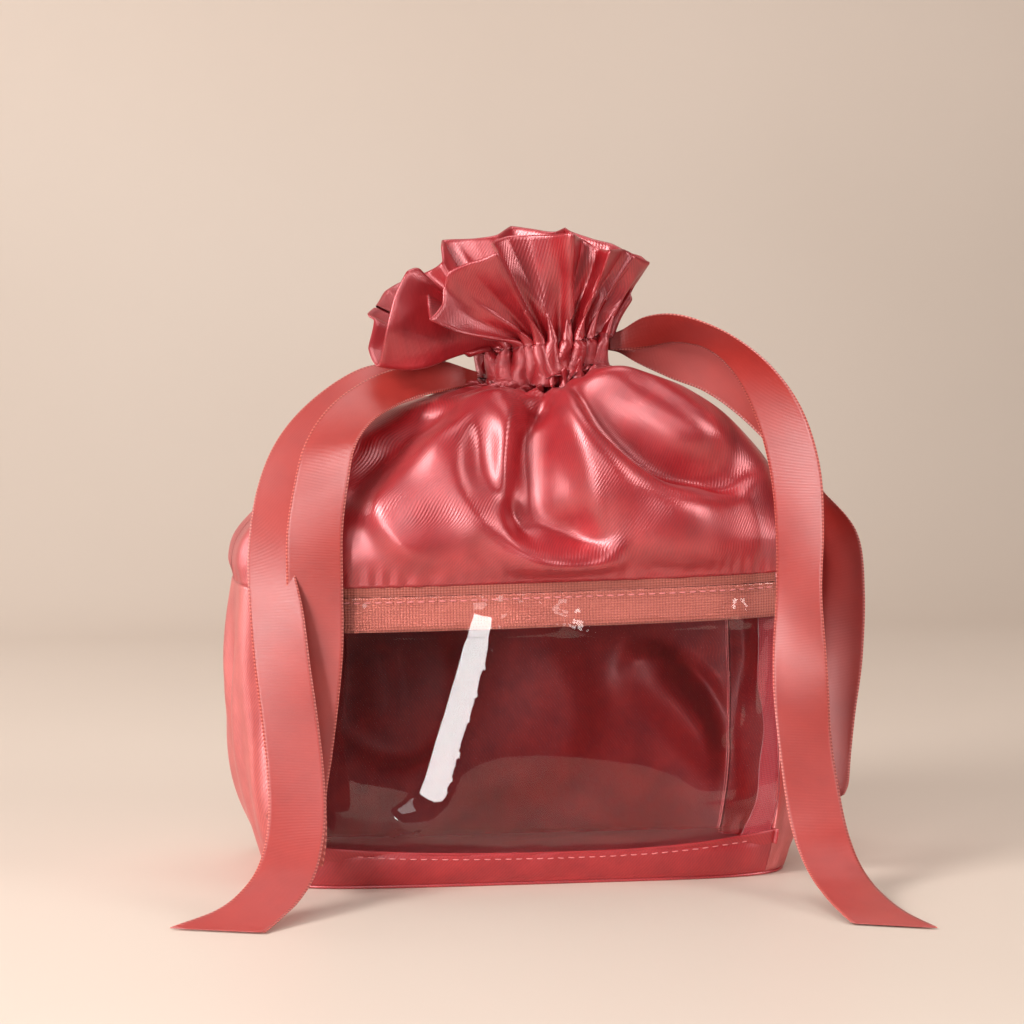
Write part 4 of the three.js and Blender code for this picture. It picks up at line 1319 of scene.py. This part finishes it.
    def gusset(self, wall: Wall) -> bpy.types.Object:
        """One side panel, with long soft upright folds."""
        seed = 61 if wall is Wall.LEFT else 66

        def relief(points: Array) -> Array:
            """Upright folds, strongest half-way up, and small puckers along the foot."""
            folds = wrinkles(points * [1, 1.1, 0.25], 20, seed) * 4.2
            folds = folds + wrinkles(points * [1, 1, 0.5], 13, seed + 1) * 0.8
            folds = folds + 3.0 * np.abs(wrinkles(points * [1, 1.2, 0.3], 44, seed + 2)) - 1.5
            near_foot = np.exp(-(((points[..., 2] - 5) / 4) ** 2))
            puckers = 0.5 * np.sin(points[..., 1] * TURN / 7.0) * near_foot
            return folds * self.bulge(points, 0.6) + puckers

        return self.lined(wall.value + "_gusset_cloth", wall, self.gusset_columns, relief)

    def back(self) -> bpy.types.Object:
        """The back panel, with the folds that show through the window."""

        def relief(points: Array) -> Array:
            """Slow upright folds under the drawn ones, all held flat at the foot and the top."""
            folds = wrinkles(points * [1, 1, 0.35], 40, 71) * 3.0
            return (folds + pressed(points, BACK_FOLDS) - 2) * self.bulge(points, 0.5)

        return self.lined("back_panel_cloth", Wall.BACK, self.back_columns, relief)

    def base(self) -> bpy.types.Object:
        """The base: a flat double sheet with a round rim, from rings that shrink to its middle."""
        widening = np.concatenate([[0.0], np.linspace(0.1, 0.97, self.base_rings)])
        rings = len(widening)
        shrink = np.concatenate([widening, [0.992, 1.0, 1.0, 0.992], widening[::-1]])
        high = np.concatenate([np.zeros(rings), [0.05, 0.4, 1.2, 1.55], np.full(rings, 1.6)])
        ring = self.form.body_points(np.linspace(0, 1, self.base_columns)[None], np.zeros(1))[0]
        points = ring[None] * shrink[:, None, None]
        points[..., 2] = high[:, None]
        return sheet_piece("base_panel_cloth", points[:, ::-1])

    def binding(self, wall: Wall) -> bpy.types.Object:
        """One bound seam allowance: a strip that stands inwards from a front corner seam."""
        foot, top = self.wall_foot, self.form.body_height
        heights = np.linspace(foot, top, self.wall_rows)
        corner = self.form.corner_share(heights)
        share = np.where(wall is Wall.LEFT, corner, 0.5 - corner)[:, None]
        around = self.form.body_points(share + np.array([[-0.002, 0.0, 0.002]]), heights)
        seam = around[:, 1][:, None]
        normal = unit(grid_normals(around) * LEVEL)[:, 1]
        aside = np.cross(normal, UP)[:, None]
        up = (heights - foot) / (top - foot)
        width = 9 + 6 * (1 - up) + 5 * np.exp(-(((up - 0.03) / 0.1) ** 2))
        across = np.linspace(0, 1, self.binding_columns)
        sway = 1.6 * np.sin(up * 9 + 1)[:, None] * across
        sway = sway + 0.8 * np.sin(up * 23)[:, None] * across**2
        depth = 1.9 + width[:, None] * across
        centre = seam - normal[:, None] * depth[..., None] + aside * sway[..., None]
        bead = aside * (0.35 + 0.25 * ease(0.8, 1.0, across)[None, :, None])
        return shell_piece(wall.value + "_seam_binding_strip", centre + bead, centre - bead)

    def build(self, finishes: Finishes) -> None:
        # The inner faces take the reverse satin, whose dark colour is partly painted shade
        satin, film, tape, reverse_with_painted_shade = finishes.satin, finishes.film, finishes.tape, finishes.reverse_with_painted_shade
        rows = (
            (self.band, (finishes.band,), "satin", "front_base_band", (0.226, 0.032), "base_panel"),
            (self.window, (film, film), "film", "window_film", (0.228, 0.121), "front_base_band"),
            (self.tape, (tape,), "tape", "window_top_tape", (0.226, 0.022), "window_film"),
            (self.back, (satin, reverse_with_painted_shade), "satin", "back_panel", (0.236, 0.142), "base_panel"),
        )
        for make, materials, slot, node, flat, under in rows:
            piece = place(dress(make(), *materials), slot, node)
        place(dress(self.base(), satin), "satin", "base_panel")
        for wall in (Wall.LEFT, Wall.RIGHT):
            # The gussets take the lighter satin, whose base colour holds painted light
            gusset = dress(self.gusset(wall), finishes.gusset, reverse_with_painted_shade)
            place(gusset, "gusset_satin", wall.value + "_gusset")
            binding = dress(self.binding(wall), finishes.binding, finishes.binding)
            place(binding, "binding", wall.value + "_seam_binding")


@dataclass
class DrawRibbons:
    """The two drawstring ribbons: each has two tails, and a bunched loop inside the casing.

    A tail's rows are its middle's x, y and z, its width, and three parts of the way that the width
    points, all in millimetres.
    """

    form: BagForm = field(default_factory=BagForm)
    width: float = 25.0
    thickness: float = 0.5
    bunched: float = 7.6
    columns: int = 15
    tail_stations: int = 190
    loop_stations: int = 160
    cut_starts: float = 0.93
    inside_neck: float = 9.5
    pleats_across: float = 3.5
    pleat_height: float = 3.2

    left_front: tuple = (
        (-21, -3.2, 227.5, 7.6, 0, 0, 1), (-27, -5, 229, 9, 0, 0.1, 1),
        (-37, -10, 230, 15, -0.1, 0.5, 0.85), (-50, -17, 228.5, 21, -0.2, 0.75, 0.65),
        (-67, -28, 223.5, 25, -0.4, 0.75, 0.5), (-83, -43, 214.5, 25, -0.75, 0.65, 0.2),
        (-94, -56, 201, 25, -1, 0.5, -0.05), (-99, -64, 183, 25, -1, 0.25, -0.1),
        (-102, -67, 162, 25, -1, 0.15, -0.05), (-102, -66.5, 138, 25, -1, 0.1, 0),
        (-102, -66, 112, 25, -1, 0.1, 0), (-104, -65.5, 88, 25, -1, 0.1, 0),
        (-107, -66, 64, 25, -1, 0.1, 0), (-110, -68, 42, 25, -1, 0.1, 0),
        (-112, -72, 25, 33, -0.75, 0.1, 0.66),
    )
    left_back: tuple = (
        (-21, 3.2, 227.5, 7.6, 0, 0, 1), (-27, 4.5, 229, 9, 0, 0.2, 1),
        (-37, 5, 230.5, 15, -0.1, 0.5, 0.85), (-51, 2, 229.5, 21, -0.3, 0.7, 0.65),
        (-71, -4, 225.5, 25, -0.45, 0.7, 0.55), (-91, -11, 213.5, 25, -0.6, 0.7, 0.45),
        (-107, -20, 196.5, 25, -0.65, 0.75, 0.4), (-117, -34, 176, 25, -0.7, 0.8, 0.3),
        (-121, -54, 152, 25, -0.85, 0.7, 0.1), (-119, -67, 128, 25, -1, 0.4, 0),
        (-117, -73, 105, 25, -1, 0.25, 0), (-114, -77.5, 80, 25, -1, 0.1, 0),
        (-112, -84, 57, 25, -1, 0, 0), (-112.5, -94, 37, 25, -1, 0.05, 0.05),
        (-117, -105, 21, 25, -0.97, 0.15, 0.12), (-125, -116, 11.5, 25.5, -0.95, 0.25, 0.15),
        (-135.5, -125.5, 5.4, 29.5, -0.96, 0.3, 0.08), (-148.5, -132, 0.9, 41.9, -0.94, 0.33, 0),
    )
    right_front: tuple = (
        (41, -3.2, 245, 7.6, 0, 0, 1), (47, -4.5, 246.5, 10, 0, -0.2, 1),
        (57, -8, 250, 18, 0, -0.6, 0.9), (72, -15, 251, 25, 0.1, -1, 0.55),
        (89, -26, 245, 25, 0.3, -1, 0.3), (102, -39, 232, 25, 0.6, -1, 0.25),
        (111, -52, 213, 25, 0.8, -0.8, 0.2), (116, -62, 189, 25, 0.85, -0.7, 0.1),
        (117, -68, 163, 25, 0.8, -0.75, 0), (116, -72, 132, 25, 0.75, -0.8, 0),
        (116, -75, 100, 25, 0.85, -0.4, 0), (117, -79, 72, 25, 0.96, 0, 0),
        (119, -84, 49, 25, 1, 0, 0), (121, -90.5, 31, 25, 1, -0.1, 0),
        (123, -100, 19.5, 25, 0.98, -0.17, 0), (124.8, -114, 12, 25.5, 0.98, -0.17, 0),
        (127, -132, 7.2, 26, 0.98, -0.2, 0), (130.5, -148, 3.8, 29, 0.96, -0.27, 0),
        (136.2, -163, 0.9, 36.3, 0.93, -0.37, 0),
    )
    right_back: tuple = (
        (41, 3.2, 245, 7.6, 0, 0, 1), (47, 4.5, 244.5, 10, 0, 0.2, 1),
        (57, 5, 242, 17, 0.1, 0.4, 0.9), (73, 2, 238, 23, 0.3, 0.45, 0.85),
        (91, -5, 231.5, 25, 0.5, 0.45, 0.75), (108, -14, 217.5, 25, 0.6, 0.5, 0.6),
        (123.5, -23, 198, 25, 0.5, 0.75, 0.5), (136, -31, 179, 25, 0.05, 1, 0.3),
        (143, -37, 157, 25, -0.65, 1, 0.1), (144.5, -41, 130, 25, -0.8, 0.95, 0),
        (142, -46, 102, 25, -0.8, 0.9, 0), (137, -51, 76, 25, -0.85, 0.85, 0),
        (133, -57, 52, 25, -0.9, 0.8, 0), (128, -62, 32, 33, -0.7, 0.7, -0.62),
    )

    def cut_end(self, places: Array, sides: Array, edges: Array) -> tuple:
        """Lays the last rings square across the strip, and lets them narrow along its slanted cut.

        Over the last stretch one end of each ring follows the longer edge. The other end follows
        the shorter edge to its corner and then runs along the cut to the tip.

        Args:
            places: The place of each ring along the strip, shape (stations, columns), from 0 to 1.
            sides: The side of each point, of the same shape, from -1 to 1.
            edges: The two edges' points, shape (stations, 2, 3).

        Returns:
            The new places and sides.
        """
        stations = len(places)
        first = int(stations * self.cut_starts)
        lengths = np.linalg.norm(np.diff(edges[first:], axis=0), axis=-1).sum(axis=0)
        long_side = 1 if lengths[1] > lengths[0] else -1
        corner = lengths.min() / lengths.max()
        march = np.linspace(0, 0.98, stations - first)
        start = places[first, 0]
        ahead = start + (1 - start) * march
        short = np.minimum(start + (1 - start) * march / corner, 1)
        turned = -1 + 2 * np.clip((march - corner) / (1 - corner), 0, 1)
        part = (sides[0] * long_side + 1) / 2
        places, sides = places.copy(), sides.copy()
        places[first:] = short[:, None] + (ahead - short)[:, None] * part
        sides[first:] = (turned[:, None] + (1 - turned)[:, None] * part) * long_side
        return places, sides

    def strip(self, name: str, rows: Array, stations: int) -> tuple:
        """A ribbon strip along its rows: middle, width and the way that the width points.

        Where it is bunched narrower than its cloth, the spare cloth stands in folds along it, as
        sin^2 waves across the strip.

        Args:
            name: The piece's name.
            rows: Rows of x, y, z, width and three parts of the width's direction.
            stations: How many cross-sections to make.

        Returns:
            The piece and the centre line's points in metres.
        """
        values = np.array(rows, float)
        values[:, 4:] = unit(values[:, 4:])
        samples = spline(values, stations)
        half = unit(samples[:, 4:]) * samples[:, 3:4] / 2
        edges = np.stack([samples[:, :3] - half, samples[:, :3] + half], axis=1)
        along, beside = np.linspace(0, 1, stations), np.linspace(-1, 1, self.columns)
        places, sides = self.cut_end(*np.meshgrid(along, beside, indexing="ij"), edges)
        last = len(values) - 1
        at = smooth_curve(np.arange(last + 1, dtype=float), values, places * last)
        middle, width, across = at[..., :3], at[..., 3], unit(at[..., 4:])
        travel = unit(np.gradient(middle[:, self.columns // 2], axis=0))[:, None]
        out = unit(np.cross(travel, across))
        spare = np.clip(1 - width / self.width, 0, 1)
        pleats = spare * self.pleat_height * np.sin(sides * self.pleats_across * math.pi) ** 2
        curl = 0.5 * (1 - sides**2) * np.sin(places * 17 + 1) + 0.35 * sides * np.sin(places * 29)
        lift = pleats - spare * 1.2 + curl * (1 - spare)
        centre = middle + across * (sides * width / 2)[..., None]
        floor = ease(1.5, 9, middle[..., 2])
        centre = centre + out * (lift * floor)[..., None]
        bead = (0.5 + 0.35 * (np.abs(sides) > 0.95)) * self.thickness / 2
        outer = centre + out * bead[..., None]
        inner = centre - out * bead[..., None]
        outer[..., 2] = np.maximum(outer[..., 2], 0.3)
        inner[..., 2] = np.maximum(inner[..., 2], 0.25)
        piece = shell_piece(name, outer, inner)
        self.lay_flat(piece, places, sides, samples[:, :3])
        reach = np.linalg.norm(outer[:, -1] - outer[:, 0], axis=-1)
        whole = (np.arange(stations) < stations * self.cut_starts) | (reach > self.width / 2)
        core = (outer.mean(axis=1) + inner.mean(axis=1)) / 2 * METRES
        return piece, core[whole]

    def lay_flat(self, piece: bpy.types.Object, places: Array, sides: Array, middle: Array) -> None:
        """Gives the strip its flat layout: across from the middle, and the length along it."""
        along = np.interp(places, np.linspace(0, 1, len(middle)), run_lengths(middle))
        flat = np.stack([sides * self.width / 2, along], axis=-1).reshape(-1, 2) * METRES
        flat = np.concatenate([flat, flat])
        mesh = piece.data
        corners = np.empty(len(mesh.loops), dtype=np.int32)
        mesh.loops.foreach_get("vertex_index", corners)
        mesh.uv_layers["cloth"].data.foreach_set("uv", flat[corners].astype(np.float32).ravel())

    def loop_rows(self, side: int, track: float) -> Array:
        """The bunched stretch inside the casing, from its own mouth round and back to it."""
        form = self.form
        share = (0.0 if side < 0 else 0.5) + np.linspace(0.03, 0.97, 60)
        way = form.shoulder_cloth + form.casing_height * track + np.array([-1, 0, 1])
        ring = form.top_points(np.tile(share, (3, 1)), way)
        normal = unit(grid_normals(ring) * LEVEL)[1]
        middle = ring[1] - normal * self.inside_neck
        width = np.full((len(share), 1), self.bunched)
        return np.concatenate([middle, width, np.tile(UP, (len(share), 1))], axis=-1)

    def build(self, finishes: Finishes) -> None:
        """Makes the four tails and two loops."""
        left = (("left_front", self.left_front), ("left_back", self.left_back))
        right = (("right_front", self.right_front), ("right_back", self.right_back))
        ribbon = finishes.ribbon
        for node, side, track, tails in (
            ("left_ribbon", -1, 0.285, left),
            ("right_ribbon", 1, 0.715, right),
        ):
            for name, rows in tails:
                piece, middle = self.strip(name + "_ribbon_tail", rows, self.tail_stations)
                place(dress(piece, ribbon, ribbon), "ribbon", node)
            rows = self.loop_rows(side, track)
            loop, _ = self.strip(node + "_casing_loop", rows, self.loop_stations)
            place(dress(loop, ribbon, ribbon), "ribbon", node)


@dataclass
class Stitching:
    """Rows of thread on the cloth's surface. All lengths in millimetres."""

    body: LowerBody
    pitch: float = 4.8
    length: float = 3.1
    thickness: float = 0.55
    proud: float = 0.12
    rings: int = 7
    sides: int = 6

    def stitch_form(self) -> tuple:
        """One stitch: a capsule whose two ends dip into the cloth, as 0.35 along^4.

        Returns:
            The vertices along x, ring by ring, shape (rings * sides, 3), and the quads.
        """
        along = np.linspace(-1, 1, self.rings)[:, None]
        radius = self.thickness / 2 * np.sqrt(np.clip(1.02 - along**4, 0.02, 1))
        turn = np.linspace(0, TURN, self.sides, endpoint=False)
        x = along * self.length / 2
        y = radius * np.cos(turn)
        z = radius * np.sin(turn) - 0.35 * along**4
        vertices = np.stack(np.broadcast_arrays(x, y, z), axis=-1).reshape(-1, 3)
        corner = np.arange(self.rings * self.sides).reshape(self.rings, self.sides)
        after = np.roll(corner, -1, axis=1)
        quads = np.stack([corner[:-1], corner[1:], after[1:], after[:-1]], axis=-1).reshape(-1, 4)
        return vertices, quads

    def row(self, name: str, line: Array, normal: Array, seed: int) -> bpy.types.Object:
        """One row of stitches along a line on a surface.

        Args:
            name: The piece's name.
            line: The line's points, shape (n, 3).
            normal: The surface's normals along it, shape (n, 3).
            seed: For the slight turn and shift of each stitch.

        Returns:
            The piece.
        """
        length = run_lengths(line)
        at = np.arange(self.pitch / 2, length[-1], self.pitch)
        centre = read_line(at, length, line)
        ahead = unit(read_line(at, length, np.gradient(line, axis=0)))
        out = unit(read_line(at, length, normal))
        random = np.random.default_rng(seed)
        ahead = unit(ahead + np.cross(out, ahead) * random.normal(0, 0.05, (len(at), 1)))
        beside = unit(np.cross(out, ahead))
        form, quads = self.stitch_form()
        axes = np.stack([ahead, beside, out], axis=1)
        vertices = centre[:, None] + (form + UP * self.proud) @ axes
        faces = (quads[None] + (np.arange(len(at)) * len(form))[:, None, None]).reshape(-1, 4)
        return make_mesh(name, vertices.reshape(-1, 3), faces)

    def along_front(self, height: float, relief: Callable, depth: float) -> tuple:
        """A level line on the front wall, sunk by depth under its relief, and its normals."""
        heights = height + np.array([-0.5, 0, 0.5])
        across = np.linspace(0.012, 0.988, 400)
        points, normal = self.body.smooth_wall(Wall.FRONT, heights, across)
        lifted = points + normal * (relief(points) - depth)[..., None]
        return lifted[1], grid_normals(lifted)[1]


def make_studio() -> None:
    """The plain pale sweep, soft lamps and an even world."""
    turn = np.linspace(0, math.pi / 2, 20)
    flat, wall = np.linspace(-0.36, 0.9, 24), np.linspace(0.55, 2.6, 12)
    depth = np.concatenate([flat, 0.9 + 0.5 * np.sin(turn), np.full(len(wall), 1.4)])
    high = np.concatenate([np.zeros(len(flat)), 0.5 - 0.5 * np.cos(turn), wall])
    across = np.linspace(-2.6, 2.6, 40)
    grid = np.stack(np.broadcast_arrays(across[None], depth[:, None], high[:, None]), axis=-1)
    floor = sheet_piece("floor_sweep", grid / METRES)
    nodes = Nodes("floor_paper")
    tone = nodes.noise(nodes.object_place(), 2.2, 3.0)
    paper = nodes.mix(tone, rgba((228, 211, 197)), rgba((220, 202, 187)))
    dress(floor, nodes.finish(nodes.surface({"Base Color": paper, "Roughness": 0.5})))
    lamps = (
        ("key_softbox", (-1.35, -0.8, 1.15), (0.6, 0.6), 26.0, (1.0, 0.985, 0.97)),
        ("fill_softbox", (1.25, -0.85, 0.7), (0.6, 0.6), 9.5, (1.0, 0.98, 0.96)),
        ("top_softbox", (0.1, 0.2, 1.5), (0.8, 0.8), 7.0, (1.0, 0.99, 0.98)),
        ("front_softbox", (-0.3, -1.4, 0.72), (0.7, 0.7), 5.0, (1.0, 0.99, 0.98)),
        ("rim_softbox", (-1.25, 0.7, 0.4), (0.4, 0.6), 5.5, (1.0, 0.98, 0.97)),
        ("strip_softbox", (-0.78, -1.05, 0.2), (0.2, 0.5), 7.0, (1.0, 0.99, 0.98)),
    )
    aim = Vector((0, 0, 0.14))
    for name, where, (wide, tall), power, colour in lamps:
        data = bpy.data.lights.new(name, "AREA")
        data.shape = "RECTANGLE"
        data.size, data.size_y = wide, tall
        data.energy = power
        data.color = colour
        lamp = bpy.data.objects.new(name, data)
        lamp.location = where
        lamp.rotation_euler = (aim - lamp.location).to_track_quat("-Z", "Y").to_euler()
        bpy.context.scene.collection.objects.link(lamp)
    world = bpy.data.worlds.new("even_world")
    world.use_nodes = True
    background = world.node_tree.nodes["Background"]
    background.inputs["Color"].default_value = (1.0, 0.95, 0.9, 1.0)
    background.inputs["Strength"].default_value = 0.12
    bpy.context.scene.world = world
    bpy.context.scene.view_settings.view_transform = "Standard"


def main() -> None:
    """Builds the bag in order: camera, ribbons, lower body, top, stitches and studio."""
    VIEW.add_camera()
    finishes = Finishes()
    DrawRibbons().build(finishes)
    body = LowerBody()
    body.build(finishes)
    GatheredTop().build(finishes)
    stitching = Stitching(body)
    band_height, tape_height = body.band_top - 3.2, body.film_top - body.stitch_in
    band_line = stitching.along_front(band_height, body.band_relief, -0.15)
    tape_line = stitching.along_front(tape_height, body.film_relief, -0.8)
    for name, line, seed in (("band_stitches", band_line, 1), ("tape_stitches", tape_line, 2)):
        place(dress(stitching.row(name, *line, seed), finishes.thread), "satin")
    make_studio()


if __name__ == "__main__":
    main()
